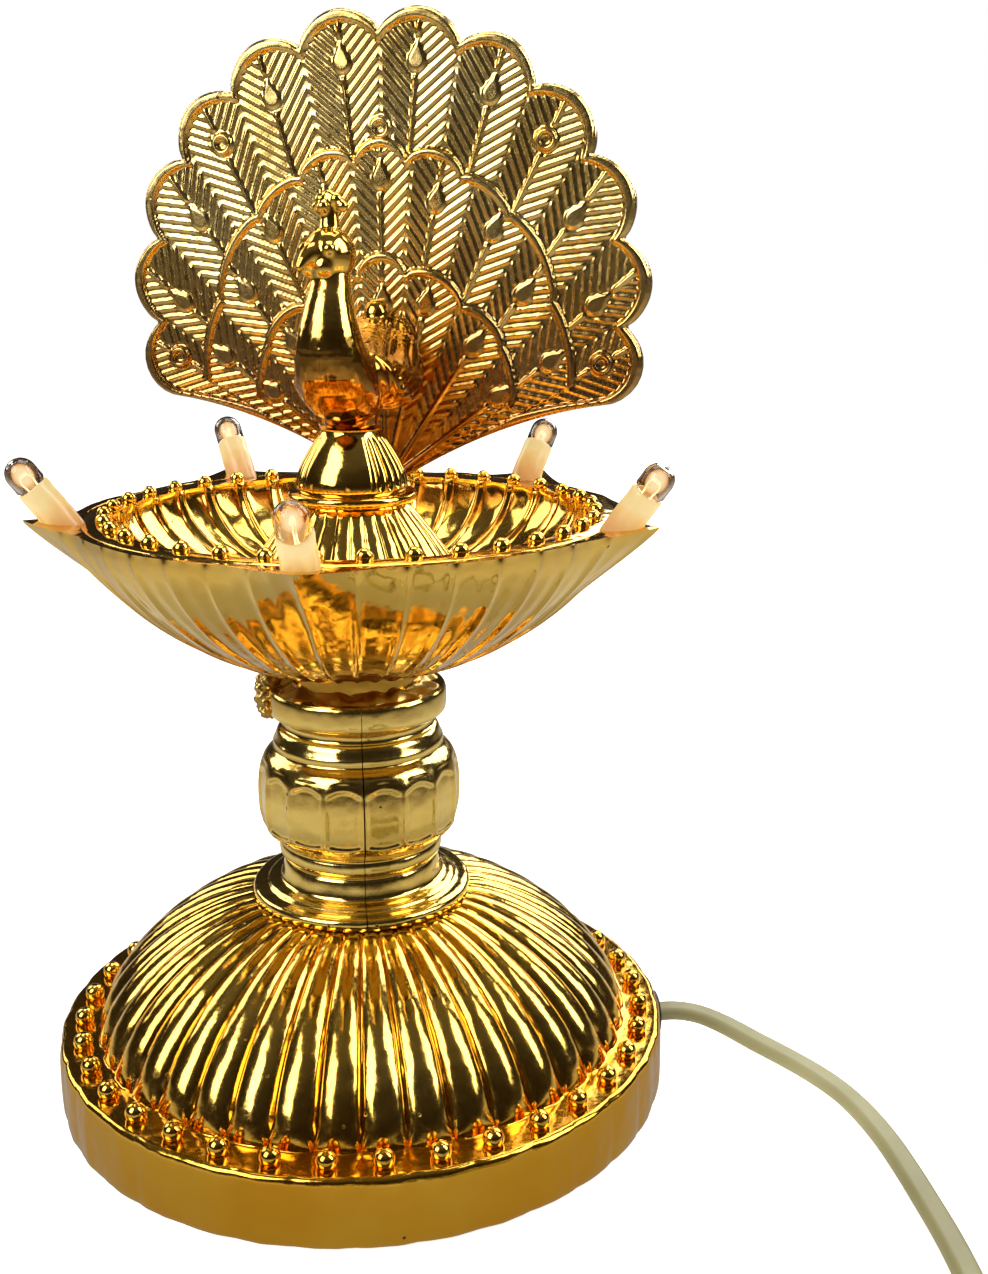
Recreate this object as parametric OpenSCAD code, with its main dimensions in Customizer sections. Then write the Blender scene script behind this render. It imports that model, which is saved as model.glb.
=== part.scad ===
// Electric peacock lamp: a metallised plastic table lamp in the form of a standing oil lamp.
// A fluted base, a turned stem in two halves, a five-spouted bowl with five small bulbs,
// and a peacock with its tail open behind it. Millimetres, +Z up, the peacock faces -Y.

/* [Base] */
// Radius of the base flange, over the scallops
base_r = 62.1; // [58:0.1:66]
// Height of the scalloped skirt
skirt_h = 13.8; // [12:0.1:16]
// Height of the dome's flat top, where the stem stands
dome_h = 40.1; // [36:0.1:44]
// Number of scallops on the skirt, each with a bead
scallops = 36; // [24:1:48]
// Wall thickness of the big mouldings
wall = 1.8; // [1.4:0.1:2.2]

/* [Stem] */
// Height of the stem from the dome to the bowl's seat
stem_h = 43.5; // [40:0.5:48]
// Largest radius of the barrel
barrel_r = 20.3; // [18:0.1:22]
// Turn of the mould seam from the front, in degrees
seam_turn = 20; // [0:5:90]

/* [Bowl] */
// Radius of the bowl's rim between the spouts
bowl_r = 52.5; // [48:0.5:56]
// Height of the rim above the table
rim_z = 118; // [116:0.5:120]
// Radius at the tips of the spouts
spout_r = 60.6; // [58:0.2:64]
// Direction of the first spout, in degrees from +X
spout_turn = -81; // [-90:1:-72]

/* [Bulbs] */
// Number of spouts and bulbs
bulbs = 5; // [5:1:5]
// Distance from the lamp's axis to where a bulb's axis meets the rim
bulb_seat_r = 53.4; // [52:0.2:54]
// Lean of the bulbs from upright, in degrees
bulb_lean = 35.5; // [30:0.5:40]
// Outside radius of the bulb holder's sleeve
sleeve_r = 3.1; // [2.9:0.05:3.3]

/* [Peacock] */
// Distance of the tail's front face behind the lamp's axis
tail_y = 23.3; // [22:0.1:26]
// Turn of the head to its right, in degrees
head_turn = 25; // [0:5:45]

/* [Cord] */
// Width of the flat twin cord
cord_w = 5; // [4.5:0.1:5.5]
// Thickness of the flat twin cord
cord_t = 3; // [2.6:0.1:3.4]
// Direction in which the cord leaves the base, in degrees from +X
cord_turn = 22; // [20:1:26]

/* [Hidden] */
$fn = 64;

GOLD = "goldenrod";
DARK = "dimgray";
STEEL = "silver";
CREAM = "ivory";
MILKY = "antiquewhite";
COPPER = "peru";

seat_z = dome_h + stem_h;      // top face of the stem, under the bowl
neck_r = 12.9;                 // smooth neck of the bowl
neck_depth = 3;                // how far the neck sinks into the stem
spigot_r = 7;                  // stem spigot in the dome's hole
pilot_r = 1.25;                // hole that a screw thread bites into
shank_r = 1.15;                // screw thread, drawn as its outside radius
boss_ring = 46;                // ring of the cover screws
stem_screw_ring = 10.8;        // ring of the stem screws
cover_z = 1.2;                 // underside of the cover, above the table
cover_t = 1.6;
cord_z = 5.4;                  // height of the cord's hole in the skirt
cord_start = base_r + 1.3;     // where the cord leaves the grommet
dish_r = 45;                   // inner edge of the liner's lip
dish_floor = 103.5;            // floor of the dish
cone_r = 23;                   // foot of the center cone
disc_r = 12.3;                 // flange on top of the cone
disc_z = 120.8;
foot_z = 122.2;                // underside of the peacock's foot
belly_z = 134;                 // top of the peacock's foot
peg_r = 4.6;                   // peg of the body on its foot
tail_z = 120;                  // height of the point that the tail's feathers spread from
tail_t = 1.6;                  // thickness of the tail's front moulding
back_t = 1.2;                  // thickness of the tail's back moulding
wire_ring = 47.2;              // ring of the wires under the rim
wire_z = 112;
wire_r = 0.6;

// The bulb's own axis, measured from the rim: the sleeve starts below it, the glass ends above
sleeve_low = -2.5;
sleeve_top = 8.6;
sleeve_bore = 2.45;
glass_r = 2.95;
stem_glass_r = 2.4;

// Coil of spare cord
coil_at = [92.5, -98];
coil_mid = 27.5;               // middle of the turns
coil_low = 0.8;
coil_rise = 3.1;               // one layer of turns on the next
layers = 4;
coil_top = coil_low + layers * coil_rise;
plug_rear = [54, -129, 7];
plug_len = 32;
pin_gap = 19;                  // between the two round pins
pin_r = 2.4;
pin_len = 19;
pin_root_r = 1.8;              // root of a pin, held inside the plug

// Route of the cord from the skirt to the coil, and from the coil to the plug
ROUTE = [[58.8, 23.7, 5.4], [63, 25.4, 5.2], [68, 26.3, 4.4], [74, 25.2, 3], [80.5, 21.8, 1.9],
    [87, 17.4, 1.5], [93.2, 12, 1.5], [98.6, 6, 1.5], [103, -1, 1.5], [106.8, -9, 1.5],
    [110, -17.5, 1.5], [113, -26.5, 1.5], [116, -36, 1.5], [118.6, -46, 1.5],
    [120.6, -56, 1.6], [121.8, -66, 1.8], [122.3, -76, 2], [122.5, -87, 2.3], [122.5, -98, 2.3]];
TAIL = [[92.5, -128, 11.6], [84, -128.2, 11.4], [76, -128.5, 10.4], [68, -128.8, 8.7],
    [61, -129, 7.3], [54, -129, 7]];

// ---- Helpers ----

function unit(v) = v / norm(v);

// A quarter of a rounded corner from [r1, z0] to [r0, z1]; power 2 is an ellipse, less is flatter
function corner(r0, r1, z0, z1, power, step = 7.5) =
    [for (t = [0:step:90]) [r0 + (r1 - r0) * pow(cos(t), 2 / power),
        z0 + (z1 - z0) * pow(sin(t), 2 / power)]];

// The same line moved sideways by d, towards its left
function beside(line, d) = [for (i = [0:len(line) - 1])
    let (t = unit(line[min(i + 1, len(line) - 1)] - line[max(i - 1, 0)]))
    line[i] + d * [-t[1], t[0]]];

function backwards(list) = [for (i = [len(list) - 1:-1:0]) list[i]];

// A wall of revolution between an outer and an inner line
module turned(outer, inner) {
    rotate_extrude() polygon(concat(outer, backwards(inner)));
}

// A tube of elliptical section along a path, with one ring at each of its points
module swept(path, width, thick, sides = 10) {
    n = len(path);
    points = [for (i = [0:n - 1]) each ring_at(path, i, width, thick, sides)];
    walls = [for (i = [0:n - 2]) for (j = [0:sides - 1])
        [i * sides + j, i * sides + (j + 1) % sides,
            (i + 1) * sides + (j + 1) % sides, (i + 1) * sides + j]];
    start = [for (j = [sides - 1:-1:0]) j];
    end = [for (j = [0:sides - 1]) (n - 1) * sides + j];
    polyhedron(points, concat(walls, [start], [end]));
}

// The ring at one point of a path, square to it; its width lies level, or along X where the path climbs
function ring_at(path, i, width, thick, sides) =
    let (t = unit(path[min(i + 1, len(path) - 1)] - path[max(i - 1, 0)]),
        level = abs(t[2]) > 0.97 ? [1, 0, 0] : unit([t[1], -t[0], 0]),
        up = unit(cross(level, t)), across = cross(t, up))
    [for (a = [0:360 / sides:359]) path[i] + across * width / 2 * cos(a) + up * thick / 2 * sin(a)];

// A round wire through the given points
module wire(points, r) {
    swept(points, 2 * r, 2 * r, 8);
}

// A pan-head screw that points up, its head's underside at z = 0
module screw(r, length, head_r, head_h) {
    cylinder(r = r, h = length);
    translate([0, 0, -head_h]) cylinder(r = head_r, h = head_h);
}

// Places its children on the bulb's axis, at the rim
module at_bulb(k) {
    rotate([0, 0, spout_turn + 360 / bulbs * k])
        translate([bulb_seat_r, 0, rim_z]) rotate([0, bulb_lean, 0]) children();
}

module at_cord() {
    rotate([0, 0, cord_turn]) translate([0, 0, cord_z]) children();
}

module flat_cord(length) {
    rotate([90, 0, 90]) linear_extrude(length) flat_section(cord_w, cord_t);
}

module flat_section(w, t) {
    square([w - t, t], center = true);
    for (s = [-1, 1]) translate([s * (w - t) / 2, 0]) circle(r = t / 2, $fn = 24);
}

// ---- Base ----

dome_line = concat(corner(20, 54, skirt_h, dome_h, 1.6), [[spigot_r + 0.1, dome_h]]);
dome_inner = beside(dome_line, wall);

// Scallops are shallow arches between sharp valleys
scallop_edge = [for (a = [0:360 / scallops / 6:359.9])
    (base_r - 0.9 + 0.9 * abs(cos(a * scallops / 2))) * [cos(a), sin(a)]];

module dome_solid() {
    rotate_extrude() polygon(concat([[0, skirt_h - wall]], [[54, skirt_h - wall]], dome_line,
        [[0, dome_h]]));
}

module base_shell() {
    color(GOLD) difference() {
        union() {
            difference() {
                linear_extrude(skirt_h) polygon(scallop_edge);
                translate([0, 0, -1]) cylinder(r = base_r - wall - 1, h = skirt_h - wall + 1);
                cylinder(r = 52, h = skirt_h + 1);
            }
            turned(concat([[54, skirt_h - wall]], dome_line),
                concat([[51.5, skirt_h - wall]], [for (p = dome_inner) [p[0], max(p[1], skirt_h - wall)]]));
            for (i = [0:scallops - 1]) rotate([0, 0, i * 360 / scallops])
                translate([57.3, 0, skirt_h + 0.3]) sphere(r = 1.5, $fn = 24);
            intersection() {
                dome_solid();
                for (a = [60, 180, 300]) rotate([0, 0, cord_turn + a])
                    translate([boss_ring, 0, cover_z + cover_t]) cylinder(r = 3.2, h = dome_h);
            }
            for (a = [60, 180, 300]) rotate([0, 0, cord_turn + a])
                translate([boss_ring, 0, cover_z + cover_t])
                    cylinder(r = 3.2, h = skirt_h - cover_z - cover_t);
        }
        for (a = [60, 180, 300]) rotate([0, 0, cord_turn + a])
            translate([boss_ring, 0, 0]) cylinder(r = pilot_r, h = 14);
        for (a = [0, 180]) rotate([0, 0, seam_turn + a])
            translate([stem_screw_ring, 0, dome_h - 5]) cylinder(r = 1.6, h = 6);
        at_cord() rotate([0, 90, 0]) cylinder(r = 3.6, h = base_r + 5);
    }
}

module bottom_cover() {
    color(DARK) difference() {
        union() {
            translate([0, 0, cover_z]) cylinder(r = base_r - wall - 1.4, h = cover_t);
            rotate([0, 0, cord_turn]) {
                for (s = [-1, 1]) translate([48, s * 5.4, cover_z + 0.5])
                    cylinder(r = 2.4, h = cord_z + cord_t / 2 - cover_z - 0.5);
                translate([44.5, -2.4, cover_z + 0.5])
                    cube([7, 4.8, cord_z - cord_t / 2 - cover_z - 0.5]);
            }
        }
        for (a = [60, 180, 300]) rotate([0, 0, cord_turn + a])
            translate([boss_ring, 0, 0]) cylinder(r = 1.6, h = 5);
        rotate([0, 0, cord_turn]) for (s = [-1, 1])
            translate([48, s * 5.4, 2.2]) cylinder(r = 0.95, h = 6);
        // Room for the grommet's inner flange
        rotate([0, 0, cord_turn]) translate([57.6, -5, 0]) cube([5, 10, 4]);
    }
}

module cover_screws() {
    color(STEEL) for (a = [60, 180, 300]) rotate([0, 0, cord_turn + a])
        translate([boss_ring, 0, cover_z]) screw(shank_r, 10, 2.8, 0.9);
}

// ---- Cord entry and the wiring inside ----

module cord_grommet() {
    color(DARK) at_cord() difference() {
        rotate([0, 90, 0]) union() {
            translate([0, 0, base_r - wall - 1.9]) cylinder(r = 3.5, h = wall + 3.2);
            translate([0, 0, base_r]) cylinder(r = 4.5, h = 1.3);
            translate([0, 0, base_r - wall - 2.2]) cylinder(r = 4.2, h = 1.1);
        }
        translate([base_r - 10, 0, 0]) flat_cord(20);
    }
}

module cord_tail() {
    color(CREAM) at_cord() translate([40, 0, 0]) flat_cord(cord_start - 40);
}

module cord_cores() {
    color(COPPER) at_cord() for (s = [-1, 1])
        translate([32, s * 1.7, 0]) rotate([0, 90, 0]) cylinder(r = 0.8, h = 8, $fn = 24);
}

module splice_sleeves() {
    color(DARK) at_cord() for (s = [-1, 1])
        translate([18, s * 1.7, 0]) rotate([0, 90, 0]) cylinder(r = 1.6, h = 14, $fn = 24);
}

module cord_clamp() {
    color(DARK) rotate([0, 0, cord_turn]) translate([45, -8.2, cord_z + cord_t / 2])
        difference() {
            cube([6, 16.4, 2]);
            for (y = [2.8, 13.6]) translate([3, y, -1]) cylinder(r = 1.1, h = 4);
        }
}

module clamp_screws() {
    color(STEEL) rotate([0, 0, cord_turn]) for (s = [-1, 1])
        translate([48, s * 5.4, cord_z + cord_t / 2 + 2]) rotate([180, 0, 0])
            screw(0.9, 5.5, 1.9, 1.2);
}

// Two wires climb from the splices through the stem and turn out under the dish
module feed_wires() {
    color("firebrick") for (s = [-1, 1]) {
        start = [18 * cos(cord_turn) - s * 1.7 * sin(cord_turn),
            18 * sin(cord_turn) + s * 1.7 * cos(cord_turn), cord_z];
        turn = s < 0 ? spout_turn - 1.6 : spout_turn - 360 / bulbs + 1.6;
        out = [cos(turn), sin(turn), 0];
        up = [0, 0, 1];
        side = [0, s * 1.6, 0];
        wire([start, [9, s * 2, 7], side + 14 * up, side + 98 * up, side + 30 * out + 99.5 * up,
            38 * out + 103.8 * up, 44 * out + 109 * up, wire_ring * out + wire_z * up,
            lead_end(turn)], wire_r);
    }
}

// Where a lead meets the floor of a sleeve, for a wire that arrives in the given direction
function lead_end(turn) =
    let (r = bulb_seat_r + (sleeve_low - 0.05) * sin(bulb_lean),
        z = rim_z + (sleeve_low - 0.05) * cos(bulb_lean))
    [r * cos(turn), r * sin(turn), z - 0.5];

module link_wires() {
    color("firebrick") for (k = [0:bulbs - 2]) {
        from = spout_turn + 360 / bulbs * k + 1.6;
        to = spout_turn + 360 / bulbs * (k + 1) - 1.6;
        arc = [for (a = [from:(to - from) / 9:to + 0.1])
            [wire_ring * cos(a), wire_ring * sin(a), wire_z]];
        wire(concat([lead_end(from)], arc, [lead_end(to)]), wire_r);
    }
}

// ---- Stem ----

stem_line = [[21.4, 0], [22, 0.8], [22, 1.8], [21.4, 2.5], [19.2, 2.6], [18.6, 3.4], [16.6, 3.7],
    [16, 4.4], [15.6, 7.4], [15, 8.1], [16.3, 9], [16.4, 11], [15.8, 12], [17, 13.4], [18.8, 15],
    [barrel_r - 0.4, 17.8], [barrel_r, 21], [barrel_r - 0.2, 24.2], [barrel_r - 1, 27.4],
    [18, 30], [16.7, 31.4], [16.9, 32], [16.9, 32.8], [16.6, 33.2], [15.9, 35.2], [14.8, 35.6],
    [14.8, 37.4], [17.1, 38.2], [17.7, 39], [17.7, 42.7], [17.2, 43.5]];
stem_inner = [[14.2, 2], [14.2, 7], [13.4, 9], [13.6, 12.5], [15.2, 14.4], [17.6, 17.6],
    [18.2, 21], [17.8, 25.4], [16, 29.4], [14.4, 32], [13, 35.2], [12.6, 37.8], [11.4, 38.6],
    [11.4, 40.5], [13, 40.5], [13, 43.5]];

module stem_half(side) {
    rotate([0, 0, side > 0 ? seam_turn - 90 : seam_turn + 90]) translate([0, 0, dome_h])
        difference() {
            union() {
                rotate_extrude(angle = 180) polygon(concat([[6, 0]], stem_line,
                    backwards(stem_inner), [[6, 2]]));
                rotate_extrude(angle = 180) translate([6, -4]) square([spigot_r - 6, 4]);
                translate([0, stem_screw_ring, 1]) cylinder(r = 2.6, h = 6);
            }
            translate([0, stem_screw_ring, -1]) cylinder(r = pilot_r, h = 7.5);
        }
}

module stem_left() {
    color(GOLD) stem_half(-1);
    // What is left of the moulding gate stands out from the top flange
    color(GOLD) rotate([0, 0, 196]) translate([17.2, -2.4, dome_h + 39.2]) cube([2.2, 4.8, 5]);
}

module stem_right() {
    color(GOLD) stem_half(1);
}

module stem_screws() {
    color(STEEL) for (a = [0, 180]) rotate([0, 0, seam_turn + a])
        translate([stem_screw_ring, 0, dome_h - wall]) screw(shank_r, 7, 2.6, 1.5);
}

module neck_glue() {
    color("khaki") translate([0, 0, seat_z]) rotate_extrude() polygon([[neck_r, 0], [14.6, 0],
        [14.2, 0.6], [13.4, 1], [neck_r, 1.3]]);
}

// ---- Bowl ----

bowl_line = concat([[neck_r, seat_z - neck_depth]],
    backwards(corner(neck_r, bowl_r, rim_z, 88, 1.5, 9)));
bowl_inner = concat([[11, seat_z - neck_depth], [11, 89.2]],
    [for (p = backwards(beside(corner(neck_r, bowl_r, rim_z, 88, 1.5, 9), -wall)))
        if (p[0] > 11.5 && p[1] < rim_z - 0.2) p], [[bowl_r - wall, rim_z]]);

// Cuts the spouts off inside the wall, halfway through it
module wall_core() {
    rotate_extrude() polygon(concat([[0, rim_z + 1], [0, rim_z - 15]],
        [for (p = backwards(beside(corner(neck_r, bowl_r, rim_z, 88, 1.5, 9), -wall / 2)))
            if (p[1] > rim_z - 15 && p[1] < rim_z - 0.2) p],
        [[bowl_r - wall / 2, rim_z + 1]]));
}

// A pointed spout, as a keel under a flat three-cornered top
spout_points = [[50, -9.5, rim_z - 0.2], [50, 9.5, rim_z - 0.2], [spout_r, 0, rim_z + 0.8],
    [52.6, -5, rim_z - 5.4], [52.6, 5, rim_z - 5.4], [46.5, 0, rim_z - 11.5]];
spout_faces = [[1, 2, 0], [2, 3, 0], [4, 3, 2], [1, 4, 2], [4, 5, 3], [3, 5, 0], [5, 4, 1], [5, 1, 0]];

module bowl_shell() {
    color(GOLD) difference() {
        union() {
            turned(bowl_line, bowl_inner);
            for (k = [0:bulbs - 1]) rotate([0, 0, spout_turn + 360 / bulbs * k]) difference() {
                polyhedron(spout_points, spout_faces);
                wall_core();
            }
        }
        for (k = [0:bulbs - 1]) at_bulb(k) {
            translate([0, 0, sleeve_low]) cylinder(r = sleeve_r + 0.05, h = 12);
            translate([0, 0, sleeve_low - 6]) cylinder(r = 2.2, h = 8);
        }
    }
}

dish_line = corner(24, dish_r, rim_z - 0.6, dish_floor, 1.8, 9);

module bowl_liner() {
    color(GOLD) difference() {
        union() {
            rotate_extrude() polygon(concat([[10, dish_floor]], backwards(dish_line),
                [[dish_r, rim_z], [bowl_r - wall - 0.1, rim_z], [bowl_r - wall - 0.6, rim_z - 1.2],
                [dish_r + 1.5, rim_z - 1.2]],
                [for (p = beside(dish_line, 1.5)) if (p[1] < rim_z - 1.6) p],
                [[10, dish_floor - 1.5]]));
            for (i = [0:scallops - 1]) rotate([0, 0, i * 360 / scallops])
                translate([dish_r + 1.4, 0, rim_z + 0.3]) sphere(r = 1.2, $fn = 24);
        }
        for (k = [0:bulbs - 1]) at_bulb(k) translate([0, 0, -8]) cylinder(r = sleeve_r + 0.05, h = 16);
    }
}

module center_cone() {
    color(GOLD) difference() {
        union() {
            turned([[cone_r, dish_floor], [disc_r - 1.3, disc_z - 0.6], [disc_r, disc_z]],
                [[cone_r - 1.8, dish_floor], [disc_r - 2.8, disc_z - 2], [disc_r - 2.8, disc_z]]);
            translate([0, 0, disc_z - 1.6]) cylinder(r = disc_r - 2, h = 1.6);
            translate([0, 0, disc_z]) cylinder(r = disc_r, h = foot_z - disc_z);
        }
        cylinder(r = 1.7, h = 150);
    }
}

// ---- Peacock ----

foot_line = [[10.6, foot_z], [10.7, 124.4], [9.7, 127], [8.4, 129.2], [7, 131.4], [5.8, 133],
    [5.3, belly_z]];

module peacock_foot() {
    color(GOLD) difference() {
        rotate_extrude() polygon(concat(foot_line, [[0, belly_z], [0, foot_z]]));
        translate([0, 0, foot_z - 1]) cylinder(r = 1.35, h = 9);
        translate([0, 0, belly_z - 2.5]) cylinder(r = 2.05, h = 3);
    }
}

module foot_screw() {
    color(STEEL) translate([0, 0, disc_z - 1.6]) screw(1.3, 9, 2.6, 1.3);
}

module ball(p, r) {
    translate(p) sphere(r = r, $fn = 24);
}

// Body, neck, head, crest and one wing, whole: each half is cut from it
module bird(side) {
    hull() { ball([0, -8.8, 162.5], 3.8); ball([0, -11.2, 152], 5.5); }
    hull() { ball([0, -11.2, 152], 5.5); ball([0, -9.5, 144], 7.4); ball([0, 0, 142], 7.7); }
    hull() { ball([0, 0, 142], 7.7); ball([0, 14, 146], 6.2); }
    hull() { ball([0, 14, 146], 6.2); ball([0, 21, 150], 4.6); }
    hull() {
        ball([side * 6.2, -2, 147.5], 3);
        ball([side * 6.4, 8, 143], 2.9);
        ball([side * 4.4, 19, 150], 2.4);
    }
    translate([0, 0, belly_z]) cylinder(r = peg_r, h = 5);
    translate([0, 0, belly_z - 2.4]) cylinder(r = 2, h = 3);
    translate([0, -8.4, 166.2]) rotate([0, 0, -head_turn]) {
        sphere(r = 3.8, $fn = 32);
        translate([0, -2.2, 0.2]) rotate([92, 0, 0]) cylinder(r1 = 2.5, r2 = 0.35, h = 7.6);
        hull() { ball([0, 0.4, 3.4], 1.6); ball([0, -0.6, 8], 2); ball([0, 2, 7.6], 1.7); }
    }
}

module bird_half(side) {
    difference() {
        intersection() {
            bird(side);
            translate([side > 0 ? 0 : -30, -30, belly_z - 4]) cube([30, 30 + tail_y, 60]);
        }
        translate([0, tail_y + 1, 149]) rotate([90, 0, 0]) cylinder(r = pilot_r, h = 11);
    }
}

module peacock_left() {
    color(GOLD) bird_half(-1);
}

module peacock_right() {
    color(GOLD) bird_half(1);
}

// ---- Tail ----

tail_centre = [0, 37.5];       // centre of the circle that the notches lie on
notch_step = 19.3;             // between two notches, in degrees
end_lobe = [44.9, 24.8];       // centre of the lowest lobe
end_lobe_r = 8.1;
PEGS = [[-44.9, 24.8], [-33.2, 66.2], [0, 69.3], [33.2, 66.2], [44.9, 24.8]];

// The right-hand edge of the tail, from the top notch round the lobes and in to the root
function lobe_edge(notch_r, bulge) = [for (a = [0:notch_step / 8:5 * notch_step - 0.1])
    tail_centre + (notch_r + bulge * pow(abs(sin(a * 180 / notch_step)), 0.75))
        * [sin(a), cos(a)]];
end_edge = [for (a = [52:-14:-88]) end_lobe + end_lobe_r * [cos(a), sin(a)]];
root_edge = [for (t = [0.15:0.15:1.01]) let (s = 1 - t)
    s * s * [44.9, 16.7] + 2 * s * t * [24, 13.6] + t * t * [3, 0.6]];
tail_edge = concat(lobe_edge(49.8, 4.6), end_edge, root_edge);

// One tier of rounded feathers, seen from the front
function tier_edge(r, bulge, step, count) = [for (a = [0:step / 8:count * step / 2])
    (r + bulge * pow(abs(sin((a + (count % 2) * step / 2) * 180 / step)), 0.75))
        * [sin(a), cos(a)]];

module both_sides(edge, foot) {
    polygon(concat(edge, foot, backwards([for (p = concat(edge, foot)) [-p[0], p[1]]])));
}

// Stands a flat outline up at the tail, its front face at the given y
module upright(y, t) {
    translate([0, y + t, tail_z]) rotate([90, 0, 0]) linear_extrude(t) children();
}

module at_pegs(y) {
    for (p = PEGS) translate([p[0], y, tail_z + p[1]]) rotate([-90, 0, 0]) children();
}

module tail_front() {
    color(GOLD) difference() {
        union() {
            upright(tail_y, tail_t) both_sides(tail_edge, []);
            upright(tail_y - 0.4, 0.4) both_sides(tier_edge(61, 5.5, 12.8, 9), [[3, 4]]);
            upright(tail_y - 0.8, 0.4) both_sides(tier_edge(40.5, 4.5, 16, 7), [[3, 5]]);
        }
        at_pegs(tail_y - 1) cylinder(r = 1.3, h = 4);
        translate([0, tail_y - 2, 149]) rotate([-90, 0, 0]) cylinder(r = 5.5, h = 2);
        translate([0, tail_y - 2, 149]) rotate([-90, 0, 0]) cylinder(r = 1.5, h = 5);
        translate([-12, tail_y - 1, 118]) cube([24, 1, 25]);
        translate([0, tail_y - 1, 146]) rotate([-90, 0, 0]) cylinder(r = 11, h = 1);
    }
}

module tail_back() {
    color(GOLD) difference() {
        union() {
            upright(tail_y + tail_t, back_t) both_sides(tail_edge, []);
            at_pegs(tail_y - 0.4) cylinder(r = 1.25, h = tail_t + 0.6);
            at_pegs(tail_y - 0.9) cylinder(r1 = 1.3, r2 = 2, h = 0.5);
        }
        translate([0, tail_y, 149]) rotate([-90, 0, 0]) cylinder(r = 1.5, h = 5);
    }
}

module tail_screw() {
    color(STEEL) translate([0, tail_y + tail_t + back_t, 149]) rotate([90, 0, 0])
        screw(shank_r, 12, 2.4, 1.2);
}

// ---- Bulbs ----

module bulb_holder(k) {
    color(MILKY) at_bulb(k) difference() {
        translate([0, 0, sleeve_low]) cylinder(r = sleeve_r, h = sleeve_top - sleeve_low);
        translate([0, 0, sleeve_low + 1]) cylinder(r = sleeve_bore, h = 20);
    }
}

module bulb_glass(k) {
    color("lightyellow", 0.5) at_bulb(k) difference() {
        union() {
            translate([0, 0, 1.6]) cylinder(r = stem_glass_r, h = sleeve_top);
            translate([0, 0, sleeve_top + 0.02]) cylinder(r = glass_r, h = 3.03);
            translate([0, 0, sleeve_top + 3.05]) sphere(r = glass_r);
        }
        translate([0, 0, 1]) cylinder(r = 1.8, h = sleeve_top);
        translate([0, 0, sleeve_top + 0.8]) cylinder(r = 2.4, h = 2.25);
        translate([0, 0, sleeve_top + 3.05]) sphere(r = 2.4);
    }
}

module bulb_filament(k) {
    color("orange") at_bulb(k) {
        translate([0, 0, sleeve_low + 1.1]) cylinder(r = 1.75, h = 4.6);
        for (s = [-1, 1]) {
            wire([[s * 0.8, 0, 3], [s * 0.8, 0, 8.2], [s * 1.2, 0, 10.4], [s * 0.3, 0, 11.2]], 0.16);
            translate([s > 0 ? 1.6 : -1.9, -0.5, sleeve_low + 1.1]) cube([0.3, 1, 2.4]);
        }
        wire([[-0.4, 0, 11.2], [0.4, 0, 11.2]], 0.22);
    }
}

module socket_contacts() {
    color(COPPER) for (k = [0:bulbs - 1]) at_bulb(k) for (s = [-1, 1])
        translate([s > 0 ? 1.98 : -2.33, -0.5, sleeve_low + 1]) cube([0.35, 1, 2.8]);
}

// ---- Cord outside, its coil and its plug ----

module power_cord() {
    color(CREAM) swept(ROUTE, cord_w, cord_t);
    color(CREAM) swept(TAIL, cord_w, cord_t);
}

module cord_coil() {
    color(CREAM) translate([coil_at[0], coil_at[1], coil_low]) rotate_extrude($fn = 96)
        translate([coil_mid - cord_w, 0]) square([2 * cord_w, coil_top - coil_low]);
}

module coil_tie() {
    color(DARK) translate([coil_at[0] - coil_mid, coil_at[1], 0]) difference() {
        translate([-cord_w - 0.7, -2, 0.1]) cube([2 * cord_w + 1.4, 4, coil_top + 0.6]);
        translate([-cord_w - 0.1, -5, coil_low]) cube([2 * cord_w + 0.2, 10, coil_top - coil_low]);
    }
}

module plug_body() {
    color(CREAM) translate(plug_rear) rotate([0, 0, 180]) difference() {
        union() {
            translate([10, -13, -6.9]) cube([plug_len - 10, 26, 13.8]);
            rotate([0, 90, 0]) cylinder(r1 = 3.4, r2 = 6.4, h = 10);
        }
        for (s = [-1, 1]) translate([plug_len - 8, s * pin_gap / 2, 0]) rotate([0, 90, 0])
            cylinder(r = pin_root_r, h = 20);
    }
}

module plug_pins() {
    color(STEEL) translate(plug_rear) rotate([0, 0, 180]) for (s = [-1, 1])
        translate([plug_len, s * pin_gap / 2, 0]) rotate([0, 90, 0]) {
            cylinder(r = pin_r, h = pin_len);
            translate([0, 0, -8]) cylinder(r = pin_root_r, h = 9);
        }
}

base_shell();
bottom_cover();
cover_screws();
cord_grommet();
cord_tail();
cord_cores();
cord_clamp();
clamp_screws();
splice_sleeves();
feed_wires();
link_wires();
stem_left();
stem_right();
stem_screws();
neck_glue();
bowl_shell();
bowl_liner();
center_cone();
foot_screw();
peacock_foot();
peacock_left();
peacock_right();
tail_front();
tail_back();
tail_screw();
socket_contacts();
bulb_holder(0);  // bulb_holder_1
bulb_holder(1);  // bulb_holder_2
bulb_holder(2);  // bulb_holder_3
bulb_holder(3);  // bulb_holder_4
bulb_holder(4);  // bulb_holder_5
bulb_glass(0);  // bulb_glass_1
bulb_glass(1);  // bulb_glass_2
bulb_glass(2);  // bulb_glass_3
bulb_glass(3);  // bulb_glass_4
bulb_glass(4);  // bulb_glass_5
bulb_filament(0);  // bulb_filament_1
bulb_filament(1);  // bulb_filament_2
bulb_filament(2);  // bulb_filament_3
bulb_filament(3);  // bulb_filament_4
bulb_filament(4);  // bulb_filament_5
power_cord();
cord_coil();
coil_tie();
plug_body();
plug_pins();
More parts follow.
